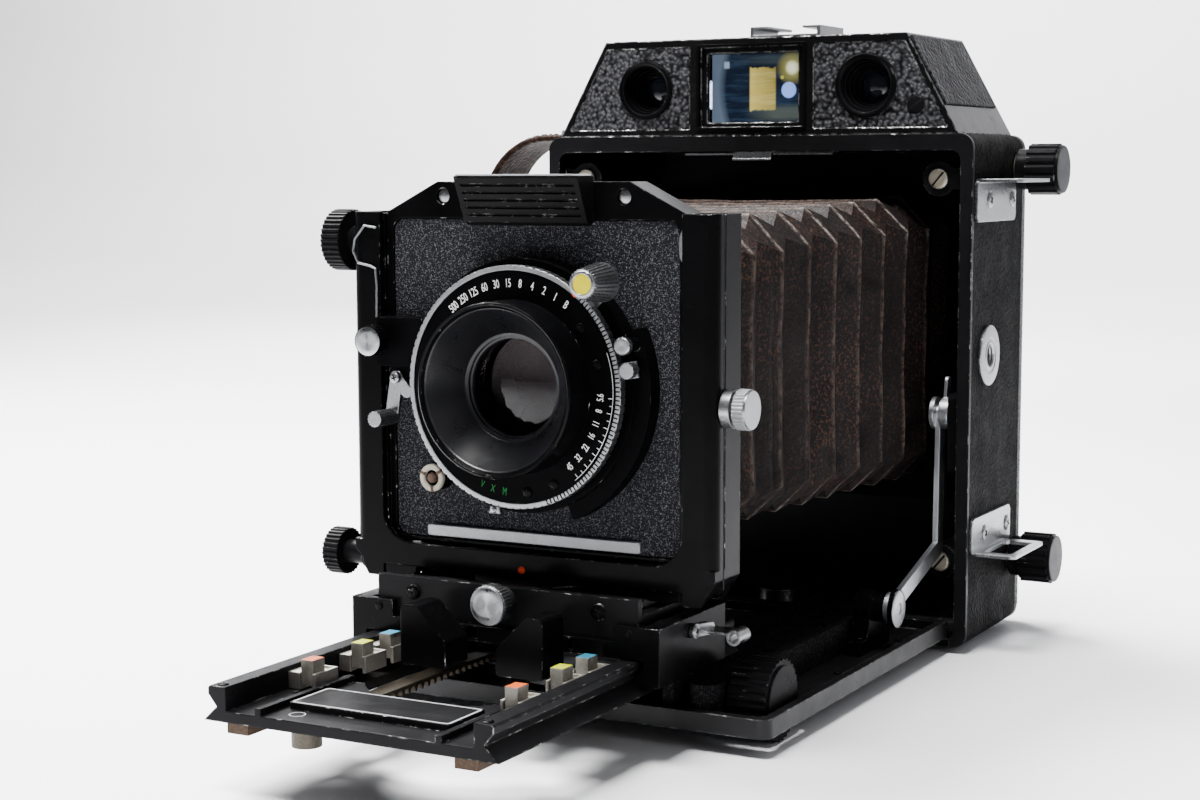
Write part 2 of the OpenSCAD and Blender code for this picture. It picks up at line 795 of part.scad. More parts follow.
// outline of a front frame post, seen from above: round towards the front, open channel inside
module post_outline() {
    difference() {
        union() {
            translate([post_in, frame_front + 3]) square([post_half - post_in, frame_rear - frame_front - 3]);
            translate([post_in, frame_front]) square([post_half - post_in - 3, 6]);
            translate([post_half - 3, frame_front + 3]) circle(r = 3);
        }
        translate([post_in - 1, frame_front + 1.8]) square([6.7, 11.3]);
        // seam line on the outer face
        translate([post_half - 0.35, frame_front + 5]) square([1, 0.5]);
    }
}

module front_frame() color("#0d0d0e") placed() {
    difference() {
        union() {
            both_sides() translate([0, 0, 34]) linear_extrude(frame_top - 34) post_outline();
            // solid feet of the posts, with sloping outer corners
            both_sides() front_plate(frame_front, frame_rear)
                polygon([[post_in, 34], [44.5, 34], [post_half, 40.5], [post_half, 43], [post_in, 43]]);
            // bottom bar between the posts, in front of the yoke
            box(-post_in, post_in, frame_front, frame_front + 4, 37.2, 43);
            both_sides() front_plate(frame_front, frame_front + 1.8) difference() {
                translate([post_in - 8, 43]) square([8, 8]);
                translate([post_in - 8, 51]) circle(r = 8);
            }
        }
        both_sides() front_plate(frame_front - 1, frame_rear + 1)
            polygon([[44.5, 30], [60, 30], [60, 40.5], [post_half, 40.5]]);
        // bore of the rise pinion's shaft, left, and of the locking screw, right
        mirror([1, 0, 0]) cyl_x(2 + play, 40, 60, rise_y, rise_z);
        cyl_x(1.8 + play, 45, 60, rise_y - 3, 81);
        // bore of the tilt's clamping screw, left
        mirror([1, 0, 0]) cyl_x(1.6 + play, 46, 60, -125, tilt_z);
    }
    // pivot pins of the tilt, fixed in the feet
    both_sides() cyl_x(2.5, 36, 46.4, tilt_y, tilt_z);
    // boss of the tilt's clamping knob on the left foot
    mirror([1, 0, 0]) difference() {
        cyl_x(3.9, 44.5, post_half, -125, tilt_z);
        cyl_x(1.6 + play, 46, 60, -125, tilt_z);
    }
}

module tilt_knob() color("#141415") placed() mirror([1, 0, 0]) {
    cyl_x(1.6, post_half - 4, post_half + 0.1, -125, tilt_z);
    cyl_x(3, post_half + 0.1, post_half + 6, -125, tilt_z);
    side_plate(post_half + 6, post_half + 10.6) translate([-125, tilt_z]) grooved(6.1, 30, 0.5);
    cyl_x(2.6, post_half + 10.6, post_half + 11.2, -125, tilt_z);
}

module rise_knob() color("#141415") placed() mirror([1, 0, 0]) {
    side_plate(43, 47.6) translate([rise_y, rise_z]) pinion_outline(rise_m, rise_n, 90);
    cyl_x(2, 47.6, post_half + 4, rise_y, rise_z);
    cyl_x(3.6, post_half + 0.1, post_half + 5, rise_y, rise_z);
    side_plate(post_half + 5, post_half + 10.4) translate([rise_y, rise_z]) grooved(7.9, 36, 0.55);
    cyl_x(3, post_half + 10.4, post_half + 11, rise_y, rise_z);
}

module rise_lock_knob() color("#d0d2d4") placed() {
    cyl_x(1.8, 48.3, post_half + 3.4, rise_y - 3, 81);
    cyl_x(4.6, post_half + 0.1, post_half + 2.6, rise_y - 3, 81);
    side_plate(post_half + 3.4, post_half + 6.2) translate([rise_y - 3, 81]) grooved(4.9, 36, 0.35);
    cyl_x(4.6, post_half + 6.2, post_half + 6.8, rise_y - 3, 81);
}

/* ---- lens panel ---- */

module lens_panel() color("#0f0f10") placed() {
    panel_front = board_y - 0.4;
    difference() {
        front_plate(panel_front, -119) union() {
            translate([-42, 43.6]) square([84, 82.9]);
            polygon([[-42, 126.4], [42, 126.4], [27, 134], [-27, 134]]);
        }
        // seat of the lensboard, and the light opening behind it
        front_plate(panel_front - 1, board_y + 3)
            round_rect(-board / 2 - 0.2, board / 2 + 0.2,
                lens_z - board / 2 - 0.3, lens_z + board / 2 + 0.2, 3);
        front_plate(board_y, -118) round_rect(-34, 34, lens_z - 34, lens_z + 34, 4);
        // pocket for the tongue of the lensboard clamp
        box(-8.1, 8.1, panel_front - 1, board_y + 1.6, 127, 132.2);
        // dimples beside the clamp
        for (x = [-25.4, 25.4])
            cyl_y(1.9, panel_front - 1, panel_front + 1.2, x, 130.4);
    }
    // tongues that run in the channels of the front frame
    both_sides() box(42, 47.6, frame_front + 2, rise_y - 3.94, 47, frame_top - 0.4);
    // rise rack on the left tongue: a gap faces the pinion's tooth
    side_plate(-47.5, -43) translate([rise_y - rise_m * rise_n / 2, rise_z]) rotate(-90)
        rack_outline(rise_m, -2, 11, 0.3);
    // frame for the front end of the bellows, behind the posts
    front_plate(frame_rear + 0.3, frame_rear + 2.6) difference() {
        round_rect(-49, 49, 47, 126.4, 2);
        round_rect(-34, 34, lens_z - 34, lens_z + 34, 4);
    }
    front_plate(-119, frame_rear + 0.3) difference() {
        round_rect(-41.5, 41.5, 47, 126.4, 2);
        round_rect(-34, 34, lens_z - 34, lens_z + 34, 4);
    }
}

module board_clamp() color("#101011") placed() {
    // finger bar over the upper edge of the lensboard, ribbed on its sloping face
    difference() {
        side_plate(-17.2, 17.2)
            polygon([[board_y - 0.5, 134.6], [board_y - 0.5, 124.2], [board_y - 2.2, 123.4],
                [board_y - 3.4, 124.2], [board_y - 8.4, 134.8], [board_y - 8.4, 135.4],
                [board_y - 0.5, 135.4]]);
        for (i = [0:4])
            side_plate(-15.8, 15.8) translate([board_y - 4.1 - i * 0.85, 126 + i * 1.8])
                circle(r = 0.35, $fn = 12);
    }
    // tongue that runs in the pocket of the panel
    box(-8, 8, board_y - 0.6, board_y + 1.4, 127.2, 130.2);
}

module lensboard() color("#1a1b1d") placed() {
    half = board / 2;
    difference() {
        front_plate(board_y, board_y + 3) round_rect(-half, half, lens_z - half, lens_z + half, 3);
        cyl_y(20, board_y - 1, board_y + 4, 0, lens_z);
    }
    // bar under the lower edge
    box(-30, 30, board_y - 1.6, board_y, 45.4, 47.8);
}

module shutter_case() color("#0e0e10") placed() {
    difference() {
        union() {
            cyl_y(31, shutter_y, board_y, 0, lens_z);
            // wider part at the right that houses the gear train
            front_plate(shutter_y + 1, board_y) translate([0, lens_z]) intersection() {
                circle(r = 34.8);
                polygon([[0, 0], [50, 24], [50, -42], [18, -42]]);
            }
            // block with the release socket at the left, and the lug of the release lever
            box(-41.5, -28, shutter_y - 0.8, board_y, lens_z + 3.4, lens_z + 15.6);
            box(-38.5, -28, shutter_y + 0.6, board_y, lens_z - 2.6, lens_z + 3.4);
            // flash terminal at the lower left
            cyl_y(3.5, board_y - 4, board_y, -26.8, lens_z - 24.4);
            front_plate(board_y - 3, board_y) link([-26.8, lens_z - 24.4], [-19, lens_z - 17.4], 6.6);
            // post of the flash selector at the right
            cyl_y(1.7, shutter_y - 3.6, shutter_y + 2, 30.4, lens_z + 11.2);
            // pivot of the release lever
            cyl_y(1, shutter_y - 1.1, shutter_y + 2, release_at[0], release_at[1]);
        }
        cyl_y(17, shutter_y - 1, board_y + 10, 0, lens_z);
        cyl_y(1.4, board_y - 5, board_y - 1, -26.8, lens_z - 24.4);
    }
    // mounting tube through the lensboard
    difference() {
        cyl_y(20, board_y, board_y + 9, 0, lens_z);
        cyl_y(17, board_y - 1, board_y + 10, 0, lens_z);
    }
    // milled release knob on its stem
    cyl_y(2, shutter_y - 3, shutter_y - 0.8, -40.4, lens_z + 9.9);
    knob_y_axis(4.1, shutter_y - 6.5, shutter_y - 3, -40.4, lens_z + 9.9, 30, 0.3);
}

dial_y = shutter_y - 1.7;
dial_r = 28.2;

module speed_ring() color("#b9bbbe") placed() {
    // a tooth-edged ring around the fixed dial; its red mark shows the speed
    difference() {
        front_plate(dial_y - 2.5, dial_y) translate([0, lens_z]) grooved(ring_r, 90, 0.35);
        cyl_y(dial_r + play, dial_y - 3, dial_y + 1, 0, lens_z);
    }
}

module lens_barrel() color("#0c0c0e") placed() {
    difference() {
        union() {
            cyl_y(21.2, dial_y - 11.6, shutter_y, 0, lens_z);
            // dial with the speed and aperture figures
            cyl_y(dial_r, dial_y - 2.3, dial_y, 0, lens_z);
            cyl_y(17, shutter_y, board_y + 16, 0, lens_z);
        }
        // funnel in front of the glass
        translate([0, dial_y - 11.7, lens_z]) rotate([-90, 0, 0])
            cylinder(r1 = 20.2, r2 = 12.5, h = 10.2);
        cyl_y(12.5, dial_y - 11.7, board_y + 17, 0, lens_z);
    }
}

// half outline of a lens element: flat rear at 0, domed face
function lens_outline(r, edge, dome) =
    concat([[0, 0], [r, 0]], [for (i = [10:-1:0]) [r * i / 10, edge + dome * (1 - pow(i / 10, 2))]]);

module lens_glass() color("#5b5570") placed() {
    translate([0, shutter_y + 4, lens_z]) rotate([90, 0, 0])
        rotate_extrude() polygon(lens_outline(12.5, 3, 2.6));
    translate([0, board_y + 9, lens_z]) rotate([-90, 0, 0])
        rotate_extrude() polygon(lens_outline(12.5, 3, 2.6));
}

// a thin ring around the barrel, from depth y0 to y1, with an arm at the angle a
module lever_ring(y0, y1, a, reach) {
    front_plate(y0, y1) translate([0, lens_z]) difference() {
        union() {
            circle(r = 24);
            rotate(a) translate([0, -2]) square([reach, 4]);
        }
        circle(r = 21.2 + play);
    }
}

aperture_angle = 9.75;
cock_angle = 46.7;

module aperture_lever() color("#c9cbcd") placed() {
    lever_ring(shutter_y - 1.6, shutter_y - 0.9, aperture_angle, 33);
    x = 32.4 * cos(aperture_angle);
    z = lens_z + 32.4 * sin(aperture_angle);
    cyl_y(1.2, shutter_y - 3.4, shutter_y - 1.6, x, z);
    front_plate(shutter_y - 6, shutter_y - 3.4) translate([x, z]) grooved(1.9, 14, 0.25);
}

module cocking_lever() color("#d3d5d6") placed() {
    lever_ring(shutter_y - 0.8, shutter_y - 0.1, cock_angle, 36);
    // knob that widens towards its face
    translate([35.6 * cos(cock_angle), shutter_y - 0.8, lens_z + 35.6 * sin(cock_angle)]) rotate([90, 0, 0]) {
        cylinder(r = 1.8, h = 3.2);
        translate([0, 0, 3.2]) cylinder(r1 = 4.7, r2 = 3.3, h = 9.6);
    }
}

module release_lever() color("#c9cbcd") placed() {
    front_plate(shutter_y - 0.5, shutter_y + 0.4) difference() {
        union() {
            link(release_at, release_at + [-1.6, -9.8], 3.6);
            link(release_at, release_at + [3, -3.4], 3);
        }
        translate(release_at) circle(r = 1 + play);
    }
    front_plate(shutter_y - 8, shutter_y - 0.5)
        translate([release_at[0] - 1.6, release_at[1] - 9.8]) grooved(2, 16, 0.25);
}

/* ---- bellows ---- */

bellows_front = frame_rear + 2.9;
bellows_rear = body_d - 8.6;
pleats = 9;
fold = 3.4;

// zigzag outline along y between two half sizes, used for both the plan and the side view
module pleated(front_half, rear_half) {
    step = (bellows_rear - bellows_front) / pleats;
    function half_at(y) = front_half
        + (rear_half - front_half) * (y - bellows_front) / (bellows_rear - bellows_front);
    upper = [for (i = [0:2 * pleats])
        let (y = bellows_front + i * step / 2)
        [y, half_at(y) - (i % 2 == 0 ? fold : 0)]];
    lower = [for (i = [2 * pleats:-1:0]) [upper[i][0], -upper[i][1]]];
    polygon(concat(upper, lower));
}

module bellows() color("#231e1d") placed() {
    translate([0, 0, lens_z + 2.4]) difference() {
        intersection() {
            translate([0, 0, -60]) linear_extrude(120) rotate(90) mirror([0, 1]) pleated(49.5, 51);
            side_plate(-70, 70) pleated(38.2, 42.6);
        }
        intersection() {
            translate([0, 0, -60]) linear_extrude(120) rotate(90) mirror([0, 1]) pleated(48.1, 49.6);
            side_plate(-70, 70) pleated(36.8, 41.2);
        }
        box(-40, 40, bellows_front - 1, bellows_rear + 1, -30, 30);
    }
}

body_shell();
body_covering();
finder_housing();
finder_covering();
finder_rings();
finder_glass();
bright_trim();
bellows_rear_frame();
hand_strap();
side_brackets();
tripod_sockets();
strut_guides();
bed_hinge_pin();
back_frame();
back_rods();
ground_glass();
back_knob_1();
back_knob_2();
back_knob_3();
back_knob_4();
bed_plate();
bed_guides();
strut_posts();
focus_shaft();
focus_knobs();
strut_right();
strut_left();
track_frame();
focus_rack();
track_pads();
stop_blocks();
stop_orange_right();
stop_yellow_right();
stop_blue_right();
stop_orange_left();
stop_yellow_left();
stop_blue_left();
carriage();
cross_rail();
grip_right();
grip_left();
carriage_catch();
shift_plate();
shift_knob();
swing_yoke();
front_frame();
tilt_knob();
rise_knob();
rise_lock_knob();
lens_panel();
board_clamp();
lensboard();
shutter_case();
speed_ring();
lens_barrel();
lens_glass();
aperture_lever();
cocking_lever();
release_lever();
bellows();
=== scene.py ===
import math

import bmesh
import bpy
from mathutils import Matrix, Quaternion, Vector


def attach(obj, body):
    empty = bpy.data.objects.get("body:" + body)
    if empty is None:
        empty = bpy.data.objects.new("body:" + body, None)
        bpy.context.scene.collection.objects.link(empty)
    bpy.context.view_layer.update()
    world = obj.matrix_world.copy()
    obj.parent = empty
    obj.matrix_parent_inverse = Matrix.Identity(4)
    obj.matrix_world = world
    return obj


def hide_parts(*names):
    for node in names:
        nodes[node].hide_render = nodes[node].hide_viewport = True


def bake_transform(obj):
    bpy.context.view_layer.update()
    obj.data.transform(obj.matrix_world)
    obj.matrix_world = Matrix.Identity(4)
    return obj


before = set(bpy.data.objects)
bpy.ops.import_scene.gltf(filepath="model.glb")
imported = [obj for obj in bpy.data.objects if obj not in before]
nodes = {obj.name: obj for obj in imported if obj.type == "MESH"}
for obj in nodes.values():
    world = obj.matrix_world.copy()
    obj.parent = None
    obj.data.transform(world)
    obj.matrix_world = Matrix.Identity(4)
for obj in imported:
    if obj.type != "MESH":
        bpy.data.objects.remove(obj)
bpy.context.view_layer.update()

MM = 0.001
SOCKET_Y = 24.0      # the origin lies this far behind the body's front face
SOCKET_T = 1.8       # and this far under the body's leather
LENS_Z = 84.7
BOARD_Y = -127.4
DIAL_Y = -137.2      # front face of the dial
SIDE_X = 68.2        # side faces of the body
BACK_Y = 48.3        # its rear face
TRACK_Z = 14.8 + 2.6
FLAP_TOP = (22.6 + SOCKET_T) * MM
BELLOWS_FRONT = -114.1
BELLOWS_REAR = 39.7


def at(x, y, z):
    """A point given from the body's front face and underside, in mm, in the row frame."""
    return Vector((x * MM, (y - SOCKET_Y) * MM, (z + SOCKET_T) * MM))


def link(name, data):
    """a new object in the scene"""
    ob = bpy.data.objects.new(name, data)
    bpy.context.collection.objects.link(ob)
    return ob


# ------------------------ camera and light

CAMERA_AT = (0.2605, -0.5975, 0.1387)
FOCAL_LENGTH = 63.6
YAW, PITCH, ROLL = (math.radians(a) for a in (28.47, 6.21, -0.14))

cam_data = bpy.data.cameras.new("camera")
cam_data.lens = FOCAL_LENGTH
cam_data.sensor_width = 36.0
cam_data.dof.use_dof = False
cam = link("camera", cam_data)
look = Vector((-math.sin(YAW) * math.cos(PITCH), math.cos(YAW) * math.cos(PITCH), -math.sin(PITCH)))
cam.location = CAMERA_AT
cam.rotation_mode = "QUATERNION"
cam.rotation_quaternion = look.to_track_quat("-Z", "Y") @ Quaternion((0, 0, 1), ROLL)
bpy.context.scene.camera = cam

# a pale world, brighter behind the object than in front of it
world = bpy.data.worlds.new("studio")
bpy.context.scene.world = world
world.use_nodes = True
wnt = world.node_tree
wco = wnt.nodes.new("ShaderNodeTexCoord")
wsep = wnt.nodes.new("ShaderNodeSeparateXYZ")
wmap = wnt.nodes.new("ShaderNodeMapRange")
for key, value in (("From Min", -0.9), ("From Max", 0.4), ("To Min", 0.06), ("To Max", 0.55)):
    wmap.inputs[key].default_value = value
wnt.links.new(wco.outputs["Generated"], wsep.inputs[0])
wnt.links.new(wsep.outputs["Y"], wmap.inputs["Value"])
wnt.links.new(wmap.outputs["Result"], wnt.nodes["Background"].inputs[1])
wnt.nodes["Background"].inputs[0].default_value = (0.95, 0.96, 1.0, 1)


def area(name, where, target, size, power, spread=180):
    """a soft box: place, aim and size in metres, power in watts, spread in degrees"""
    data = bpy.data.lights.new(name, "AREA")
    data.shape = "RECTANGLE"
    data.size, data.size_y = size
    data.energy = power
    data.spread = math.radians(spread)
    ob = link(name, data)
    ob.location = where
    ob.rotation_mode = "QUATERNION"
    ob.rotation_quaternion = (Vector(target) - Vector(where)).to_track_quat("-Z", "Y")


area("overhead", (-0.8, 0.3, 1.15), (-0.15, 0.15, 0.0), (1.0, 0.7), 54, spread=110)
area("top_front", (-0.1, -0.35, 1.0), (-0.06, -0.1, 0.0), (0.5, 0.3), 5, spread=70)
area("backdrop_light", (-0.7, 0.3, 1.0), (-0.8, 1.95, 0.35), (2.0, 0.3), 58, spread=110)
area("right_box", (0.9, -0.5, 0.55), (0.05, -0.05, 0.08), (0.3, 0.5), 0.9)


# ------------------------ materials

def start(name, **constants):
    """a material with these constants on its shader's own sockets, _ standing for a space;
    the helpers below add to its node tree, nt, until the next one is started"""
    global nt
    m = bpy.data.materials.new(name)
    m.use_nodes = True
    nt = m.node_tree
    shader = nt.nodes["Principled BSDF"]
    for key, value in constants.items():
        shader.inputs[key.replace("_", " ")].default_value = value
    return m, shader


def scaled(color, k):
    return tuple(c * k for c in color)


def plug(shader, **values):
    """links the values to the shader's sockets of these names"""
    for key, value in values.items():
        nt.links.new(value, shader.inputs[key.replace("_", " ")])


def add(kind, **inputs):
    n = nt.nodes.new(kind)
    for key, value in inputs.items():
        if key in n.inputs:
            n.inputs[key].default_value = value
        else:
            setattr(n, key, value)
    return n


def position():
    return add("ShaderNodeTexCoord").outputs["Object"]


def xyz(vector=None):
    """the three parts of a vector, or of the position"""
    n = add("ShaderNodeSeparateXYZ")
    nt.links.new(vector or position(), n.inputs[0])
    return n.outputs


def noise(scale, detail=2.0, rough=0.5, vector=None):
    n = add("ShaderNodeTexNoise", Scale=scale, Detail=detail, Roughness=rough)
    nt.links.new(vector or position(), n.inputs["Vector"])
    return n.outputs["Fac"]


def voronoi(scale, feature="F1", vector=None):
    """distance to the middle of the nearest cell"""
    n = add("ShaderNodeTexVoronoi", Scale=scale)
    n.feature = feature
    nt.links.new(vector or position(), n.inputs["Vector"])
    return n.outputs["Distance"]


def ramp(value, lo, hi, out_lo=0.0, out_hi=1.0):
    """the value carried from lo...hi to out_lo...out_hi, and held there outside"""
    n = add("ShaderNodeMapRange")
    n.inputs["From Min"].default_value = lo
    n.inputs["From Max"].default_value = hi
    n.inputs["To Min"].default_value = out_lo
    n.inputs["To Max"].default_value = out_hi
    nt.links.new(value, n.inputs["Value"])
    return n.outputs["Result"]


def cloudy(scale, detail, rough, *limits):
    return ramp(noise(scale, detail, rough), *limits)


def maths(kind, a, b=None):
    n = add("ShaderNodeMath")
    n.operation = kind
    for i, v in enumerate((a, b)):
        if v is None:
            continue
        if isinstance(v, (int, float)):
            n.inputs[i].default_value = v
        else:
            nt.links.new(v, n.inputs[i])
    return n.outputs[0]


def times(a, b):
    return maths("MULTIPLY", a, b)


def length(a, b):
    return maths("SQRT", maths("ADD", times(a, a), times(b, b)))


def mix(fac, a, b):
    """colour a where fac is 0, colour b where it is 1"""
    n = add("ShaderNodeMix")
    n.data_type = "RGBA"
    for socket, v in ((n.inputs[0], fac), (n.inputs[6], a), (n.inputs[7], b)):
        if isinstance(v, tuple):
            socket.default_value = v + (1,)
        elif isinstance(v, (int, float)):
            socket.default_value = v
        else:
            nt.links.new(v, socket)
    return n.outputs[2]


def bump(height, distance, strength=1.0, normal=None):
    n = add("ShaderNodeBump", Strength=strength, Distance=distance)
    nt.links.new(height, n.inputs["Height"])
    if normal is not None:
        nt.links.new(normal, n.inputs["Normal"])
    return n.outputs["Normal"]


def soft_edges(radius):
    """(normal with rounded edges, how near an edge is: 0 to 1)"""
    b = add("ShaderNodeBevel", Radius=radius)
    b.samples = 4
    g = add("ShaderNodeNewGeometry")
    d = add("ShaderNodeVectorMath")
    d.operation = "DOT_PRODUCT"
    nt.links.new(b.outputs["Normal"], d.inputs[0])
    nt.links.new(g.outputs["Normal"], d.inputs[1])
    return b.outputs["Normal"], ramp(d.outputs["Value"], 0.985, 0.86)


def painted(name, color, roughness, wear=0.5, radius=0.0005, bare=(0.5, 0.49, 0.47), dust=0.05,
            coat=0.0, spec=0.05):
    """black or coloured paint over metal, rubbed through along its edges"""
    m, b = start(name, Specular_IOR_Level=spec, Coat_Weight=coat, Coat_Roughness=0.08)
    normal, edge = soft_edges(radius)
    patch = cloudy(330, 4, 0.65, 0.62 - 0.3 * wear, 0.70 - 0.3 * wear)
    fine = cloudy(1900, 3, 0.6, 0.35, 0.6)
    worn = times(times(edge, patch), fine)
    cloud = cloudy(60, 5, 0.6, 0.3, 0.75)
    tone = mix(cloud, scaled(color, 0.8), tuple(min(1, c * 1.25 + dust * 0.03) for c in color))
    speck = times(cloudy(4200, 2, 0.5, 0.72, 0.76), dust)
    tone = mix(speck, tone, (0.5, 0.48, 0.45))
    plug(b, Base_Color=mix(worn, tone, bare))
    plug(b, Metallic=worn)
    smear = cloudy(140, 4, 0.7, 0.3, 0.7, roughness * 0.8, min(1.0, roughness * 1.25))
    plug(b, Roughness=smear)
    plug(b, Normal=normal)
    return m


def metal(name, color, roughness, dirt=0.25):
    """bare metal with fine scratches and clouds of dirt"""
    m, b = start(name, Metallic=1.0)
    normal = soft_edges(0.0004)[0]
    lines = noise(2600, 3, 0.7)
    cloud = cloudy(150, 5, 0.65, 0.35, 0.8)
    fac = times(cloud, dirt)
    plug(b, Base_Color=mix(fac, color, scaled(color, 0.45)))
    plug(b, Roughness=ramp(lines, 0.3, 0.7, roughness * 0.7, min(1.0, roughness * 1.4)))
    plug(b, Normal=bump(lines, 0.00002, 0.35, normal))
    return m


def leather(name, color, scale, depth, roughness, tint=None, spec=0.015, glint=0.3, front=0.0):
    """pebbled leather: cells with painted shade in the creases between them, painted glints on their tops,
    and painted highlights on the cells of faces that look forwards
    """
    m, b = start(name, Specular_IOR_Level=spec)
    normal = soft_edges(0.0004)[0]
    warp = add("ShaderNodeVectorMath")
    warp.operation = "MULTIPLY_ADD"
    nz = add("ShaderNodeTexNoise", Scale=scale * 0.5, Detail=2.0)
    nt.links.new(position(), nz.inputs["Vector"])
    nt.links.new(nz.outputs["Color"], warp.inputs[0])
    warp.inputs[1].default_value = (0.5 / scale,) * 3
    nt.links.new(position(), warp.inputs[2])
    cells = voronoi(scale, "SMOOTH_F1", warp.outputs[0])
    pores = noise(scale * 4, 3, 0.6)
    height = maths("SUBTRACT", times(pores, 0.25), cells)
    # painted shade: darker towards the creases between the cells
    shade = ramp(cells, 0.2, 0.75)
    cloud = cloudy(45, 5, 0.65, 0.3, 0.75)
    base = mix(cloud, scaled(color, 0.7), scaled(color, 1.35))
    if tint:
        rubbed = cloudy(900, 4, 0.7, 0.55, 0.68)
        base = mix(times(rubbed, 0.5), base, tint)
    # painted highlight: the pebble tops made paler, by glint
    painted_pebble_glint = times(ramp(cells, 0.3, 0.12), ramp(pores, 0.45, 0.62))
    base = mix(times(painted_pebble_glint, glint), base, tuple(min(1, c * 7 + 0.01) for c in color))
    # painted highlight: pebble cells on faces that look forwards made paler, by front
    if front:
        facing = xyz(add("ShaderNodeNewGeometry").outputs["Normal"])
        painted_front_sheen = times(ramp(facing["Y"], -0.5, -0.9), ramp(cells, 0.75, 0.2))
        painted_front_sheen = times(painted_front_sheen, ramp(pores, 0.35, 0.65, 0.45, 1.0))
        base = mix(painted_front_sheen, base, (front, front, front * 1.06))
    plug(b, Base_Color=mix(shade, base, scaled(color, 0.3)))
    plug(b, Roughness=cloudy(120, 4, 0.6, 0.3, 0.7, roughness * 0.85, min(1, roughness * 1.2)))
    plug(b, Normal=bump(height, depth, 0.9, normal))
    return m


def crackle(name, color, light, scale, roughness):
    """crinkle-finish paint with fine bright grains"""
    m, b = start(name, Specular_IOR_Level=0.03)
    normal = soft_edges(0.0004)[0]
    cells = voronoi(scale)
    big = noise(scale * 0.45, 4, 0.7)
    grain = times(ramp(cells, 0.5, 0.2), ramp(big, 0.42, 0.58))
    plug(b, Base_Color=mix(times(grain, 0.8), color, light))
    plug(b, Roughness=ramp(grain, 0, 1, roughness, roughness * 0.55))
    plug(b, Normal=bump(maths("ADD", big, times(grain, 0.4)), 0.00022, 0.9, normal))
    return m


def spun(name):
    """a turned metal face, its light drawn out across the turning marks"""
    m, b = start(name, Metallic=1, Anisotropic=0.85)
    t = add("ShaderNodeTangent")
    t.direction_type = "RADIAL"
    t.axis = "Y"
    plug(b, Tangent=t.outputs[0])
    plug(b, Base_Color=mix(noise(900, 4, 0.7), (0.24, 0.245, 0.25), (0.4, 0.405, 0.41)))
    plug(b, Roughness=cloudy(500, 4, 0.7, 0.3, 0.7, 0.24, 0.4))
    return m


def glassy(name, color, roughness=0.02, film=0.0, ior=1.5, clear=1.0):
    """tinted glass, with a coating of film nanometres if that isn't 0"""
    m, b = start(name, Roughness=roughness, IOR=ior, Transmission_Weight=clear)
    cloud = cloudy(90, 3, 0.6, 0.3, 0.7)
    plug(b, Base_Color=mix(cloud, color, tuple(min(1, c * 1.1) for c in color)))
    if film:
        b.inputs["Thin Film Thickness"].default_value = film
        b.inputs["Thin Film IOR"].default_value = 1.38
    return m


def finder_scene(name):
    """painted light: a self-lit picture of what is seen in the finder window, glowing with no lamp behind it:
    blue gloom, the yellow range patch, a flare and two small lights
    """
    m, b = start(name, Emission_Strength=1.2, Roughness=0.25, Specular_IOR_Level=0.1)
    place = xyz()
    x = times(place["X"], 1000.0)
    z = maths("SUBTRACT", times(place["Z"], 1000.0), 160.7 + SOCKET_T)

    def band(u, lo, hi, edge):
        return times(ramp(u, lo - edge, lo + edge), ramp(u, hi + edge, hi - edge))

    def spot(cx, cz, r0, r1):
        dx = maths("SUBTRACT", x, cx)
        dz = maths("SUBTRACT", z, cz)
        return ramp(length(dx, dz), r0, r1)

    stretch = add("ShaderNodeMapping")
    stretch.inputs["Scale"].default_value = (0.25, 1, 2.2)
    nt.links.new(position(), stretch.inputs["Vector"])
    streak = ramp(noise(380, 3, 0.6, stretch.outputs[0]), 0.45, 0.7)
    curve = maths("ADD", x, times(times(z, z), -0.018))
    tone = mix(streak, (0.006, 0.010, 0.018), (0.018, 0.032, 0.055))
    tone = mix(ramp(curve, -10.0, -12.6), tone, (0.10, 0.125, 0.15))
    low = times(band(z, -9.5, -5.5, 0.8), ramp(x, -4, 6))
    tone = mix(times(low, 0.55), tone, (0.12, 0.13, 0.09))
    upper = times(band(z, 6.8, 9.5, 0.5), ramp(x, -9, 8))
    tone = mix(times(upper, 0.35), tone, (0.09, 0.11, 0.1))
    edge_wave = maths("ADD", z, times(noise(450, 3, 0.6), 2.2))
    patch = times(band(x, -2.2, 6.1, 0.25), band(edge_wave, -5.4, 6.9, 0.3))
    glass = mix(ramp(x, -2.2, 6.1), (0.62, 0.44, 0.09), (0.3, 0.215, 0.045))
    glass = mix(times(streak, 0.4), glass, (0.7, 0.56, 0.2))
    tone = mix(patch, tone, glass)
    tone = mix(times(band(x, -10.6, -8.9, 0.25), band(z, 5.9, 7.8, 0.3)), tone, (0.3, 0.36, 0.42))
    tone = mix(spot(10.3, -0.8, 2.5, 2.1), tone, (0.3, 0.46, 0.95))
    tone = mix(spot(8.2, 2.9, 0.7, 0.3), tone, (0.55, 0.45, 0.05))
    tone = mix(times(spot(11.3, 5.6, 5.2, 1.0), 0.6), tone, (0.6, 0.5, 0.08))
    tone = mix(spot(11.3, 5.6, 2.4, 0.9), tone, (1.0, 0.95, 0.6))
    plug(b, Base_Color=tone)
    plug(b, Emission_Color=tone)
    return m


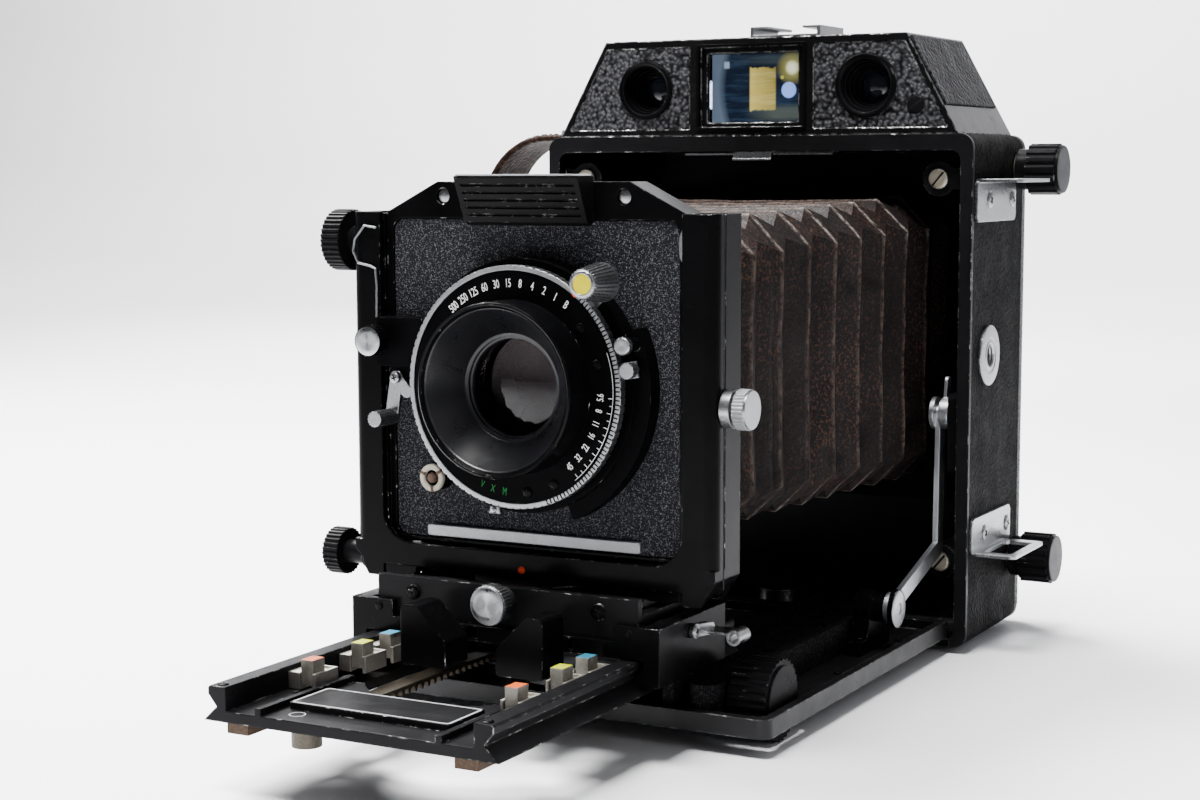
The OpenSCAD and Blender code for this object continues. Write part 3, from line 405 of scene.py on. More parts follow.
def painted_top(name, color, above):
    """a worn metal flap with paint on its upper face only"""
    m, b = start(name, Specular_IOR_Level=0.2)
    normal = soft_edges(0.0003)[0]
    facing = xyz(add("ShaderNodeNewGeometry").outputs["Normal"])
    mask = times(ramp(xyz()["Z"], above - 0.0001, above + 0.0001), ramp(facing["Z"], 0.55, 0.7))
    mask = times(mask, cloudy(900, 4, 0.7, 0.3, 0.36))
    cloud = cloudy(300, 5, 0.65, 0.35, 0.75)
    bare = mix(cloud, (0.4, 0.375, 0.33), (0.2, 0.185, 0.16))
    paint = mix(cloud, color, scaled(color, 0.75))
    plug(b, Base_Color=mix(mask, bare, paint))
    plug(b, Metallic=ramp(mask, 0, 1, 0.9, 0.0))
    plug(b, Roughness=cloudy(700, 3, 0.6, 0.3, 0.7, 0.4, 0.6))
    plug(b, Normal=bump(noise(1600, 3, 0.6), 0.00005, 0.6, normal))
    return m


def pads(name):
    """brown fibre runners, near black from a little behind their front ends; the end screw's head is plain
    metal
    """
    m, b = start(name, Specular_IOR_Level=0.1)
    place = xyz()
    dx = maths("SUBTRACT", place["X"], -0.014)
    dy = maths("SUBTRACT", place["Y"], (-203.2 - SOCKET_Y) * MM)
    head = ramp(length(dx, dy), 0.0046, 0.0042)
    rear = ramp(place["Y"], -0.222, -0.212)
    grain = cloudy(1400, 4, 0.65, 0.35, 0.65)
    fibre = mix(grain, (0.035, 0.022, 0.014), (0.075, 0.048, 0.03))
    fibre = mix(rear, fibre, (0.006, 0.005, 0.0045))
    steel = mix(grain, (0.06, 0.054, 0.042), (0.11, 0.1, 0.08))
    plug(b, Base_Color=mix(head, fibre, steel))
    plug(b, Metallic=head)
    plug(b, Roughness=ramp(grain, 0, 1, 0.45, 0.7))
    plug(b, Normal=bump(grain, 0.00005, 0.6))
    return m


def blades_painted_reflection(name):
    """dark shutter blades, their colour a painted reflection of the coated glass in front: brownish above,
    violet below
    """
    m, b = start(name, Roughness=0.5, Specular_IOR_Level=0.03)
    low = (LENS_Z + SOCKET_T - 9) * MM
    high = (LENS_Z + SOCKET_T + 9) * MM
    # painted reflection: brownish towards the top, violet towards the bottom
    tone = mix(ramp(xyz()["Z"], low, high), (0.016, 0.01, 0.018), (0.022, 0.016, 0.011))
    tone = mix(cloudy(200, 3, 0.5, 0.4, 0.7, 0, 0.35), tone, (0.015, 0.011, 0.013))
    plug(b, Base_Color=tone)
    return m


M = {
    "enamel": painted("enamel", (0.0045, 0.0045, 0.005), 0.34, wear=0.28),
    "bezel": painted("bezel_black", (0.002, 0.002, 0.0022), 0.2, wear=0, radius=0.0002, dust=0.01, spec=0.06),
    "clamp": painted("clamp_black", (0.003, 0.003, 0.0032), 0.38, wear=0.2, radius=0.0003, spec=0.03),
    "bar_metal": metal("bar_metal", (0.3, 0.305, 0.31), 0.5, dirt=0.3),
    "rack": metal("rack_metal", (0.035, 0.028, 0.02), 0.5, dirt=0.6),
    "finder_scene": finder_scene("finder_scene"),
    "spring": metal("spring_steel", (0.2, 0.205, 0.21), 0.3),
    "interior": painted("interior_black", (0.002, 0.002, 0.002), 0.7, wear=0, radius=0.0003, spec=0.02),
    "gloss": painted("gloss_black", (0.0016, 0.0016, 0.0018), 0.22, wear=0.16, dust=0.02, spec=0.035),
    "finder": painted("finder_black", (0.003, 0.003, 0.0033), 0.24, wear=0.55, radius=0.0008, spec=0.07,
                      bare=(0.55, 0.55, 0.54)),
    "anodised": painted("anodised_black", (0.004, 0.004, 0.0045), 0.32, wear=0.06, radius=0.0003, spec=0.03),
    "dial": painted("dial_black", (0.0014, 0.0014, 0.0017), 0.34, wear=0.02, radius=0.0003, dust=0.01,
                    spec=0.015),
    "crackle": crackle("crackle", (0.01, 0.01, 0.0118), (0.19, 0.195, 0.215), 2600, 0.6),
    "crackle_bar": crackle("crackle_bar", (0.005, 0.005, 0.0055), (0.05, 0.05, 0.052), 2200, 0.75),
    "covering": leather("covering", (0.0085, 0.0082, 0.0084), 1050, 0.0004, 0.6),
    "finder_leather": leather("finder_leather", (0.011, 0.011, 0.0125), 980, 0.0008, 0.42,
                              spec=0.03, glint=0.35, front=0.1),
    "strap": leather("strap_leather", (0.022, 0.013, 0.009), 800, 0.0004, 0.5, (0.1, 0.05, 0.03)),
    "chrome": metal("satin_chrome", (0.28, 0.285, 0.29), 0.3),
    "bed_enamel": painted("bed_enamel", (0.0045, 0.0045, 0.005), 0.34, wear=0.4, spec=0.2),
    "strut_steel": metal("strut_steel", (0.5, 0.51, 0.53), 0.36),
    "steel": metal("steel", (0.3, 0.305, 0.31), 0.34),
    "knurled": metal("knurled", (0.3, 0.305, 0.31), 0.34, dirt=0.35),
    "pale_brass": metal("pale_brass", (0.5, 0.45, 0.36), 0.42),
    "terminal": painted("terminal_cream", (0.4, 0.37, 0.3), 0.5, wear=0.1, spec=0.15),
    "fibre": painted("terminal_fibre", (0.09, 0.055, 0.04), 0.6, wear=0, spec=0.1),
    "stop_metal": metal("stop_metal", (0.36, 0.34, 0.3), 0.48, dirt=0.6),
    "pads": pads("track_pads"),
    "orange": painted_top("orange_paint", (0.4, 0.065, 0.0), FLAP_TOP),
    "yellow": painted_top("yellow_paint", (0.36, 0.4, 0.0), FLAP_TOP),
    "blue": painted_top("blue_paint", (0.015, 0.14, 0.22), FLAP_TOP),
    "red": painted("red_paint", (0.75, 0.06, 0.02), 0.4, wear=0.1),
    "white": painted("white_paint", (0.85, 0.85, 0.83), 0.5, wear=0.1),
    "green": painted("green_paint", (0.012, 0.14, 0.035), 0.5, wear=0.1),
    "dot_yellow": painted("dot_yellow", (0.5, 0.43, 0.0), 0.35, wear=0, spec=0.1),
    "lens": glassy("lens_glass", (0.5, 0.44, 0.46), 0.015, ior=1.3),
    "window": glassy("window_glass", (0.75, 0.82, 0.95), 0.02, film=330),
    "dark_glass": painted("dark_glass", (0.01, 0.012, 0.02), 0.06, wear=0, coat=1.0),
    "thread": painted("thread", (0.05, 0.03, 0.02), 0.8, wear=0, spec=0.1),
    # dark lines and seams, and painted shade in the screw slots
    "slot_dark": painted("slot_dark", (0.002, 0.002, 0.002), 0.6, wear=0, spec=0.1),
    "funnel": painted("funnel_black", (0.0045, 0.0045, 0.0055), 0.3, wear=0, radius=0.0001, dust=0,
                      spec=0.3),
    "blades": blades_painted_reflection("blades_painted_reflection"),
    "spun": spun("spun_face"),
    # a pale line: the name field's border, and a painted highlight on the clamp's edge
    "worn_line": painted("worn_line", (0.3, 0.3, 0.31), 0.4, wear=0.3),
    "worn_grey": painted("worn_grey", (0.09, 0.09, 0.095), 0.4, wear=1.2, radius=0.0008),
    "grey_cap": painted("grey_cap", (0.035, 0.035, 0.038), 0.4, wear=0.15, radius=0.0003),
    "ground": glassy("ground_glass", (0.85, 0.88, 0.86), 0.5, clear=0.75),
}

NODES_OF = {
    "enamel": "body_shell back_frame track_frame cross_rail shift_plate swing_yoke",
    "covering": "body_covering",
    "finder": "finder_housing",
    "finder_leather": "finder_covering",
    "anodised": "finder_rings back_knob_1 back_knob_2 back_knob_3 back_knob_4 focus_knobs tilt_knob "
                "rise_knob",
    "window": "finder_glass",
    "chrome": "bright_trim side_brackets tripod_sockets carriage_catch release_lever",
    "interior": "bellows_rear_frame strut_guides",
    "steel": "bed_hinge_pin back_rods focus_shaft",
    "ground": "ground_glass",
    "bed_enamel": "bed_plate",
    "crackle_bar": "bed_guides",
    "gloss": "strut_posts carriage grip_right grip_left front_frame lens_panel",
    "strut_steel": "strut_right strut_left",
    "rack": "focus_rack",
    "pads": "track_pads",
    "stop_metal": "stop_blocks",
    "orange": "stop_orange_right stop_orange_left",
    "yellow": "stop_yellow_right stop_yellow_left",
    "blue": "stop_blue_right stop_blue_left",
    "knurled": "shift_knob rise_lock_knob speed_ring aperture_lever cocking_lever",
    "clamp": "board_clamp",
    "crackle": "lensboard",
    "dial": "shutter_case lens_barrel",
    "lens": "lens_glass",
}
for key, names in NODES_OF.items():
    for name in names.split():
        ob = nodes[name]
        if not ob.material_slots:
            ob.data.materials.append(M[key])
        for s in ob.material_slots:
            s.material = M[key]


# ------------------------ mesh helpers

class Shape:
    """gathers vertices, faces and material numbers for one piece"""

    def __init__(self):
        self.v, self.f, self.m = [], [], []

    def grid(self, rows, closed_u=False, m=0, cap=False):
        """faces between neighbouring rows of points, each of them a ring where closed_u is set"""
        base = len(self.v)
        n = len(rows[0])
        for r in rows:
            self.v.extend(r)
        for i in range(len(rows) - 1):
            for j in range(n if closed_u else n - 1):
                a = base + i * n + j
                b = base + i * n + (j + 1) % n
                self.f.append((a, b, b + n, a + n))
                self.m.append(m)
        if cap:
            self.f.append(tuple(range(base, base + n)))
            self.f.append(tuple(range(base + (len(rows) - 1) * n, base + len(rows) * n)))
            self.m += [m, m]
        return self

    def lathe(self, origin, axis, profile, seg, m=0):
        """profile: (radius, distance along axis) in mm"""
        axis = Vector(axis).normalized()
        u = axis.orthogonal().normalized()
        w = axis.cross(u)
        rows = []
        for r, d in profile:
            rows.append([origin + axis * (d * MM) + (u * math.cos(t) + w * math.sin(t)) * (max(r, 1e-4) * MM)
                         for t in (2 * math.pi * k / seg for k in range(seg))])
        return self.grid(rows, closed_u=True, m=m)

    def prism(self, outline, base, u, v, w, depth, m=0, chamfer=0.0):
        """outline in mm on the u, v plane through base, carried along w by depth"""
        u, v, w = Vector(u), Vector(v), Vector(w)
        cx, cy = (sum(p[i] for p in outline) / len(outline) for i in (0, 1))

        def ring(d, inset):
            pts = []
            for x, y in outline:
                k = math.hypot(x - cx, y - cy) or 1
                px, py = x - (x - cx) / k * inset, y - (y - cy) / k * inset
                pts.append(base + u * (px * MM) + v * (py * MM) + w * (d * MM))
            return pts

        rows = [ring(0, 0), ring(depth - chamfer, 0)]
        if chamfer:
            rows.append(ring(depth, chamfer))
        return self.grid(rows, closed_u=True, m=m, cap=True)

    def tube(self, pts, radius, seg):
        """a round bar along the points, radius in mm"""
        rows = []
        up = None
        for i, p in enumerate(pts):
            t = (pts[min(i + 1, len(pts) - 1)] - pts[max(i - 1, 0)]).normalized()
            if up is None:
                up = t.orthogonal().normalized()
            up = (up - t * up.dot(t)).normalized()
            side = t.cross(up)
            rows.append([p + (up * math.cos(k) + side * math.sin(k)) * radius * MM
                         for k in (2 * math.pi * j / seg for j in range(seg))])
        return self.grid(rows, closed_u=True, cap=True)

    def make(self, name, mats, body, smooth=True, sharp=35):
        """one piece with all that was gathered; edges over sharp degrees stay sharp; empties the shape"""
        me = bpy.data.meshes.new(name)
        me.from_pydata([tuple(v) for v in self.v], [], self.f)
        for key in [mats] if isinstance(mats, str) else mats:
            me.materials.append(M[key])
        for p, number in zip(me.polygons, self.m):
            p.material_index = number
        bm = bmesh.new()
        bm.from_mesh(me)
        if not any(self.m):
            bmesh.ops.remove_doubles(bm, verts=bm.verts, dist=1e-7)
        bmesh.ops.recalc_face_normals(bm, faces=bm.faces)
        for f in bm.faces:
            f.smooth = smooth
        for e in bm.edges if smooth else ():
            if len(e.link_faces) == 2 and e.calc_face_angle(0.0) > math.radians(sharp):
                e.smooth = False
        bm.to_mesh(me)
        bm.free()
        ob = link(name, me)
        if body:
            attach(ob, body)
        self.__init__()
        return ob


def disc(r, n):
    return [(r * math.cos(2 * math.pi * k / n), r * math.sin(2 * math.pi * k / n)) for k in range(n)]


def box(x0, x1, y0, y1):
    return [(x0, y0), (x1, y0), (x1, y1), (x0, y1)]


def round_box(x0, x1, y0, y1, r):
    pts = []
    for cx, cy, a in ((x1 - r, y1 - r, 0), (x0 + r, y1 - r, 90),
                      (x0 + r, y0 + r, 180), (x1 - r, y0 + r, 270)):
        for k in range(6):
            t = math.radians(a + 18 * k)
            pts.append((cx + r * math.cos(t), cy + r * math.sin(t)))
    return pts


# the planes that outlines are drawn on, as (to the right, upwards, towards the viewer)
FORWARD = (0, -1, 0)
FRONT = ((1, 0, 0), (0, 0, 1), FORWARD)
RIGHT = ((0, 1, 0), (0, 0, 1), (1, 0, 0))
BACK = ((-1, 0, 0), (0, 0, 1), (0, 1, 0))
TOP = ((1, 0, 0), (0, 1, 0), (0, 0, 1))


def screw(shape, centre, planes, r, head=0, cut=1, slotted=False, turn=0.0, depth=0.45):
    """a domed screw head, its slot or cross a thin dark bar laid on it: painted shade standing for the sunk
    slot
    """
    u, v, w = (Vector(a) for a in planes)
    dome = [(r, 0), (r, depth * 0.5), (r * 0.9, depth * 0.85), (r * 0.6, depth), (0, depth * 1.02)]
    shape.lathe(centre, w, dome, 24, m=head)
    for a in [turn] if slotted else [turn, turn + 90]:
        c, s = math.cos(math.radians(a)), math.sin(math.radians(a))
        uu = u * c + v * s
        vv = v * c - u * s
        long = r * (0.93 if slotted else 0.55)
        half = r * (0.11 if slotted else 0.13)
        top = depth * (0.95 if slotted else 1.0)
        shape.prism(box(-long, long, -half, half), centre + w * (top * MM), uu, vv, w, 0.06, m=cut)


sh = Shape()      # make() empties it again after each piece


# ------------------------ bellows

PLEATS = 9
FOLD = 3.4           # depth of a fold
STEP = (BELLOWS_REAR - BELLOWS_FRONT) / PLEATS / 2
BELLOWS_Z = LENS_Z + 2.4         # middle of its section


def bellows_loop(y):
    """one closed cross-section of the bellows, faceted between its fold lines"""
    def line(i):
        """half width, half height and cut corner at fold line i"""
        t = (i * STEP) / (BELLOWS_REAR - BELLOWS_FRONT)
        out = i % 2 == 1
        w = 49.5 + 1.5 * t - (0 if out else FOLD)
        h = 38.2 + 4.4 * t - (0 if out else FOLD)
        return w, h, 9.5 if out else 3.2

    k = (y - BELLOWS_FRONT) / STEP
    i = min(int(k), 2 * PLEATS - 1)
    f = k - i
    a, b = line(i), line(i + 1)
    w, h, c = (p + (q - p) * f for p, q in zip(a, b))
    corners = [(w, h - c), (w - c, h), (-w + c, h), (-w, h - c),
               (-w, -h + c), (-w + c, -h), (w - c, -h), (w, -h + c)]
    pts = []
    for j in range(8):
        p, q = corners[j], corners[(j + 1) % 8]
        n = 14 if j in (1, 3, 5, 7) else 3
        for s in range(n):
            t = s / n
            x = p[0] + (q[0] - p[0]) * t
            z = p[1] + (q[1] - p[1]) * t
            sag = math.sin(math.pi * t) * (0.5 if j in (1, 3, 5, 7) else 0)
            wave = math.sin(x * 0.35 + y * 0.21) * math.sin(z * 0.23 - y * 0.11) * 0.22
            d = math.hypot(x, z)
            pts.append((x - x / d * (sag + wave + 0.25), z - z / d * (sag + wave + 0.25)))
    return pts


def bellows_material():
    """brown-black leather, rubbed pale along its folds and most at their corners, with painted shade along
    its hanging creases
    """
    m, b = start("bellows_leather", Specular_IOR_Level=0.03)
    ridge, crease = (add("ShaderNodeAttribute", attribute_name=key).outputs["Fac"]
                     for key in ("ridge", "crease"))
    dark = (0.006, 0.005, 0.005)
    brown = (0.062, 0.03, 0.019)
    pale = (0.075, 0.055, 0.045)
    speck = cloudy(1150, 3, 0.7, 0.53, 0.60)
    zone = cloudy(28, 3, 0.6, 0.38, 0.62, 0.15, 0.8)
    base = mix(cloudy(40, 4, 0.6, 0.3, 0.7), dark, (0.011, 0.0098, 0.0098))
    base = mix(times(speck, zone), base, brown)
    rub = times(ridge, cloudy(600, 4, 0.7, 0.4, 0.62))
    base = mix(rub, base, pale)
    place = xyz()
    above = maths("ABSOLUTE", maths("SUBTRACT", place["Z"], (LENS_Z + SOCKET_T) * MM))
    beside = maths("ABSOLUTE", place["X"])
    corner = times(ramp(above, 0.0315, 0.035), ramp(beside, 0.037, 0.042))
    base = mix(times(rub, corner), base, (0.2, 0.175, 0.16))
    # painted shade: near black along the hanging creases
    base = mix(times(crease, 0.8), base, (0.002, 0.002, 0.002))
    plug(b, Base_Color=base)
    plug(b, Roughness=cloudy(260, 4, 0.6, 0.3, 0.7, 0.42, 0.68))
    cells = voronoi(1500, "SMOOTH_F1")
    h = maths("SUBTRACT", noise(420, 5, 0.65), times(cells, 0.5))
    h = maths("SUBTRACT", h, times(crease, 0.6))
    plug(b, Normal=bump(h, 0.00035, 0.9))
    return m


M["bellows"] = bellows_material()
# (rear end, front end, body at the rear end, body at the front end)
SECTIONS = [
    (39.7, 24.7, "camera_body", "bed"),
    (24.7, -51.3, "bed", "track"),
    (-51.3, -72.3, "track", "carriage_body"),
    (-72.3, -84.3, "carriage_body", "shift"),
    (-84.3, -91.3, "shift", "swing"),
    (-91.3, -99.8, "swing", "standard"),
    (-99.8, -114.1, "standard", "panel"),
]
# hanging creases in the sides, (height in mm, slope)
CREASES = [(112.0, 0.02), (105.5, -0.03), (62.0, 0.015), (57.5, -0.02)]
bellows_parts = []
for index, (rear, front, body_a, body_b) in enumerate(SECTIONS):
    ys = {rear, front}
    for i in range(2 * PLEATS + 1):
        line_y = BELLOWS_FRONT + i * STEP
        for d in (-1.4, -0.6, 0, 0.6, 1.4) if i % 2 else (-0.5, 0, 0.5):
            ys.add(line_y + d)
        for d in (2.4, 4.3, 6.2):
            ys.add(line_y + d)
    ys = sorted(y for y in ys if front - 1e-6 <= y <= rear + 1e-6)
    rows, ridges, creases = [], [], []
    for y in ys:
        near = min(abs(y - (BELLOWS_FRONT + i * STEP)) for i in range(1, 2 * PLEATS, 2))
        loop = bellows_loop(min(max(y, BELLOWS_FRONT + 1e-4), BELLOWS_REAR - 1e-4))
        rows.append([at(x, y, BELLOWS_Z + z) for x, z in loop])
        ridges += [max(0.0, 1 - near / 1.3)] * len(loop)
        for x, z in loop:
            c = 0.0
            for cz, slope in CREASES:
                d = abs(BELLOWS_Z + z - cz - slope * (y + 40) - 0.8 * math.sin(y * 0.13 + cz))
                c = max(c, 1 - d / 1.5)
            creases.append(max(0.0, c) if abs(x) > 40 else 0.0)
    sh.grid(rows, closed_u=True)
    ob = sh.make("bellows_section_%d" % (index + 1), "bellows", None, sharp=9)
    for key, values in (("ridge", ridges), ("crease", creases)):
        attr = ob.data.attributes.new(key, "FLOAT", "POINT")
        if len(ob.data.vertices) == len(values):
            attr.data.foreach_set("value", values)
    solid = ob.modifiers.new("thickness", "SOLIDIFY")
    solid.thickness = 0.0006
    solid.offset = -1
    bellows_parts.append((ob, body_a, body_b, rear, front))
for ob, body_a, body_b, rear, front in bellows_parts:
    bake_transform(ob)
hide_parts("bellows")

# ------------------------ floor

# flat paper that curves up behind the object, (y, z) in metres
PAPER = [(-5, 0), (1.2, 0), (1.5, 0.03), (1.75, 0.14), (1.9, 0.34), (1.95, 0.6), (1.95, 2.2)]
floor = bpy.data.meshes.new("floor")
paper = Shape().grid([[(x, y, z) for x in (-6, -3, 0, 3, 6)] for y, z in PAPER])
floor.from_pydata(paper.v, [], paper.f)
fm, fb = start("floor_paper", Roughness=0.8)
plug(fb, Base_Color=mix(cloudy(3, 3, 0.5, 0.3, 0.7), (0.86, 0.86, 0.885), (0.88, 0.88, 0.9)))
floor.materials.append(fm)
for p in floor.polygons:
    p.use_smooth = True
floor_ob = link("floor", floor)

# ------------------------ hand strap

STRAP = dict(out=-101.0, low=12.0, top=148.0, thick=2.4, bend=24.0, y0=13.0, y1=35.0, end=-69.9)


def strap_path(n):
    """points (x, z) along the middle of the strap, from its lower end round to its upper end, with normals"""
    s = STRAP
    h = s["thick"] / 2
    pts = []
    for x in (s["end"], -73, -75.5):
        pts.append((x, s["low"] + h, 0, -1))
    for k in range(n + 1):
        t = math.radians(270 - 90 * k / n)
        r = s["bend"] - h
        pts.append((s["out"] + s["bend"] + r * math.cos(t), s["low"] + s["bend"] + r * math.sin(t),
                    math.cos(t), math.sin(t)))
    z0, z1 = s["low"] + s["bend"], s["top"] - s["bend"]
    for k in range(1, 14):
        pts.append((s["out"] + h, z0 + (z1 - z0) * k / 14, -1, 0))
    for k in range(n + 1):
        t = math.radians(180 - 90 * k / n)
        r = s["bend"] - h
        pts.append((s["out"] + s["bend"] + r * math.cos(t), z1 + r * math.sin(t), math.cos(t), math.sin(t)))
    for x in (-75.5, -73, s["end"]):
        pts.append((x, s["top"] - h, 0, 1))
    return pts


path = strap_path(12)
# half the strap's section, from its rim to the middle: (part of the width, part of the thickness)
half = [(1, 0.12), (0.97, 0.6), (0.9, 0.86), (0.8, 0.82), (0.72, 0.92), (0.3, 1.0)]
across = [(-u, d) for u, d in half] + half[::-1]
half_y = (STRAP["y1"] - STRAP["y0"]) / 2
mid_y = (STRAP["y1"] + STRAP["y0"]) / 2
rows = []
for x, z, nx, nz in path:
    row = []
    for side in (1, -1):
        for u, d in across if side == 1 else reversed(across):
            off = side * d * STRAP["thick"] / 2
            wave = 0.12 * math.sin(z * 0.21 + u * 1.7) + 0.08 * math.sin(x * 0.5)
            row.append(at(x + nx * off * 0.98 + wave * abs(nx) * 0.4, mid_y + u * half_y,
                          z + nz * off * 0.98))
    rows.append(row)
sh.grid(rows, closed_u=True, cap=True)
strap = sh.make("hand_strap_leather", "strap", "camera_body", sharp=50)
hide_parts("hand_strap")
for side in (-1, 1):
    for i in range(len(path) - 1):
        x0, z0, nx0, nz0 = path[i]
        x1, z1, nx1, nz1 = path[i + 1]
        d = math.hypot(x1 - x0, z1 - z0)
        n = max(1, round(d / 2.6))
        for k in range(n):
            a, b = (k + 0.18) / n, (k + 0.82) / n
            end = 0.1 * (b - a)
            out = STRAP["thick"] / 2 * 0.86
            pts = [at(x0 + (x1 - x0) * t + (nx0 + (nx1 - nx0) * t) * (out + lift),
                      mid_y + side * half_y * 0.8,
                      z0 + (z1 - z0) * t + (nz0 + (nz1 - nz0) * t) * (out + lift))
                   for t, lift in ((a, -0.1), (a + end, 0.12), (b - end, 0.12), (b, -0.1))]
            sh.tube(pts, 0.22, 6)
sh.make("strap_stitching", "thread", "camera_body")


# ------------------------ lettering

def glyphs(name, items, mat, body):
    """items: (text, centre, size in mm, u, v): small flat letters along u with their tops towards v"""
    verts, faces = [], []
    for text, centre, size, u, v in items:
        curve = bpy.data.curves.new("t", "FONT")
        curve.body = text
        curve.size = 1.0
        curve.resolution_u = 4
        curve.align_x = "CENTER"
        curve.align_y = "CENTER"
        curve.space_character = 0.95
        curve.offset = 0.005
        ob = link("t", curve)
        bpy.context.view_layer.update()
        me = bpy.data.meshes.new_from_object(ob.evaluated_get(bpy.context.evaluated_depsgraph_get()))
        u, v = Vector(u).normalized(), Vector(v).normalized()
        w = u.cross(v)
        base = len(verts)
        verts += [centre + (u * (p.co.x * 0.64) + v * p.co.y) * size * MM + w * (0.03 * MM)
                  for p in me.vertices]
        faces += [tuple(i + base for i in f.vertices) for f in me.polygons]
        bpy.data.objects.remove(ob)
        bpy.data.meshes.remove(me)
        bpy.data.curves.remove(curve)
    bm = bmesh.new()
    me = bpy.data.meshes.new(name)
    me.from_pydata([tuple(p) for p in verts], [], faces)
    bm.from_mesh(me)
    bmesh.ops.remove_doubles(bm, verts=bm.verts, dist=1e-6)
    bm.to_mesh(me)
    bm.free()
    me.materials.append(M[mat])
    ob = link(name, me)
    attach(ob, body)


def polar(r, degrees, y):
    t = math.radians(degrees)
    return at(r * math.cos(t), y, LENS_Z + r * math.sin(t))


def radial(degrees):
    t = math.radians(degrees)
    return Vector((math.cos(t), 0, math.sin(t)))


def tangent(degrees):
    """clockwise, as seen from the front"""
    t = math.radians(degrees)
    return Vector((math.sin(t), 0, -math.cos(t)))


def bar(shape, centre, u, v, w, length, width, height, m=0):
    """length along u, width along v, height along w, in mm"""
    shape.prism(box(-length / 2, length / 2, -width / 2, width / 2), centre, u, v, w, height, m=m)


# shutter speeds along the top of the dial, apertures along its lower right
SPEEDS = ["500", "250", "125", "60", "30", "15", "8", "4", "2", "1", "B"]
items = []
for k, t in enumerate(SPEEDS):
    a = 131 - 7.7 * k
    items.append((t, polar(25.1, a, DIAL_Y), 2.9, tangent(a), radial(a)))
STOPS = ["5.6", "8", "11", "16", "22", "32", "45"]
for k, t in enumerate(STOPS):
    a = -3 - 7.7 * k
    items.append((t, polar(24.1, a, DIAL_Y), 2.5, -tangent(a), -radial(a)))
glyphs("dial_figures", items, "white", "panel")
glyphs("dial_sync_letters", [(t, polar(25.6, a, DIAL_Y), 2.6, -tangent(a), -radial(a))
                             for t, a in (("V", -110), ("X", -103), ("M", -95.5))], "green", "panel")
# lines of the aperture scale, every second one longer, and the thin arc outside them
for k in range(13):
    a = -3 - 3.85 * k
    bar(sh, polar(26.75 if k % 2 == 0 else 26.95, a, DIAL_Y), radial(a), tangent(a), FORWARD,
        1.1 if k % 2 == 0 else 0.7, 0.16, 0.04)
for k in range(34):
    a = 20 - 2.1 * k
    bar(sh, polar(27.4, a - 1.05, DIAL_Y), radial(a - 1.05), tangent(a - 1.05), FORWARD, 0.12, 1.05, 0.04)
sh.make("dial_scale_marks", "white", "panel", smooth=False)

# index marks on the speed ring
bar(sh, polar(28.65, 53, DIAL_Y - 0.2), radial(53), tangent(53), FORWARD, 1.1, 0.9, 0.05)
sh.make("speed_index", "red", "speed", smooth=False)
# painted shade: dark bars where the shaded grooves between the ring's knurl teeth are
for k in range(58):
    a = 49 - 2.1 * k
    bar(sh, polar(28.75, a, DIAL_Y - 0.2), radial(a), tangent(a), FORWARD, 1.2, 0.34, 0.05)
sh.make("speed_ring_notch_shade", "dial", "speed", smooth=False)
# small screws of the dial and the front of the shutter
for r, a in ((23.8, 39), (23.9, 15.6), (25.5, -81), (25.5, -63.6)):
    screw(sh, polar(r, a, DIAL_Y), FRONT, 1.25, turn=a)
sh.make("dial_screws", ["gloss", "slot_dark"], "panel")
# click stop under the ring
sh.prism([(-1.7, -1.0), (1.7, -1.0), (1.2, 1.0), (-1.2, 1.0)], polar(30.6, -100, -136.2),
         *FRONT, 1.2, chamfer=0.3)
screw(sh, polar(30.6, -100, -137.4), FRONT, 0.7, 0, 0)
sh.make("shutter_stop", ["chrome", "slot_dark"], "panel")

# front of the lens: bezel lip, ridged funnel, stepped rings and the blades behind the glass
lens_axis_front = at(0, DIAL_Y - 9.3, LENS_Z)
lip = [(21.1, -1.4), (21.15, -0.4), (21.0, 0.15), (20.6, 0.4), (20.25, 0.2), (20.05, -0.4)]
sh.lathe(lens_axis_front, FORWARD, lip, 96)
sh.make("lens_bezel", "bezel", "panel")
RIDGES = 13
RIDGED = 8.3                            # depth of the ridged part
NARROWING = (20.2 - 12.5) / 10.2        # of the funnel's radius with its depth
profile = []
for k in range(RIDGES * 2 + 1):
    deep = k / (RIDGES * 2) * RIDGED
    profile.append((20.0 - NARROWING * (deep + 0.4) - (0.28 if k % 2 else 0.06), -0.5 - deep))
profile += [(13.1, -9.0), (12.45, -9.1), (12.4, -9.9), (11.9, -10.0), (11.75, -10.9)]
sh.lathe(lens_axis_front, FORWARD, profile, 96)
sh.make("lens_funnel_ridges", "funnel", "panel", sharp=60)
BLADES_Y, BLADES_R, OPENING_R = -126.0, 11.6, 5.2
for k in range(5):
    rim = [(BLADES_R, 72 * k + 12 * j) for j in range(9)]
    rim += [(OPENING_R, 72 * k + 9 * j + 30) for j in range(8, -1, -1)]
    pts = [(r * math.cos(math.radians(a)), r * math.sin(math.radians(a))) for r, a in rim]
    sh.prism(pts, at(0, BLADES_Y + k * 0.12, LENS_Z), *FRONT, 0.1)
# a full disc behind the blades, carrying the same painted reflection
sh.prism(disc(BLADES_R, 40), at(0, BLADES_Y + 1.2, LENS_Z), *FRONT, 0.2)
sh.make("shutter_blades", "blades", "panel", smooth=False)

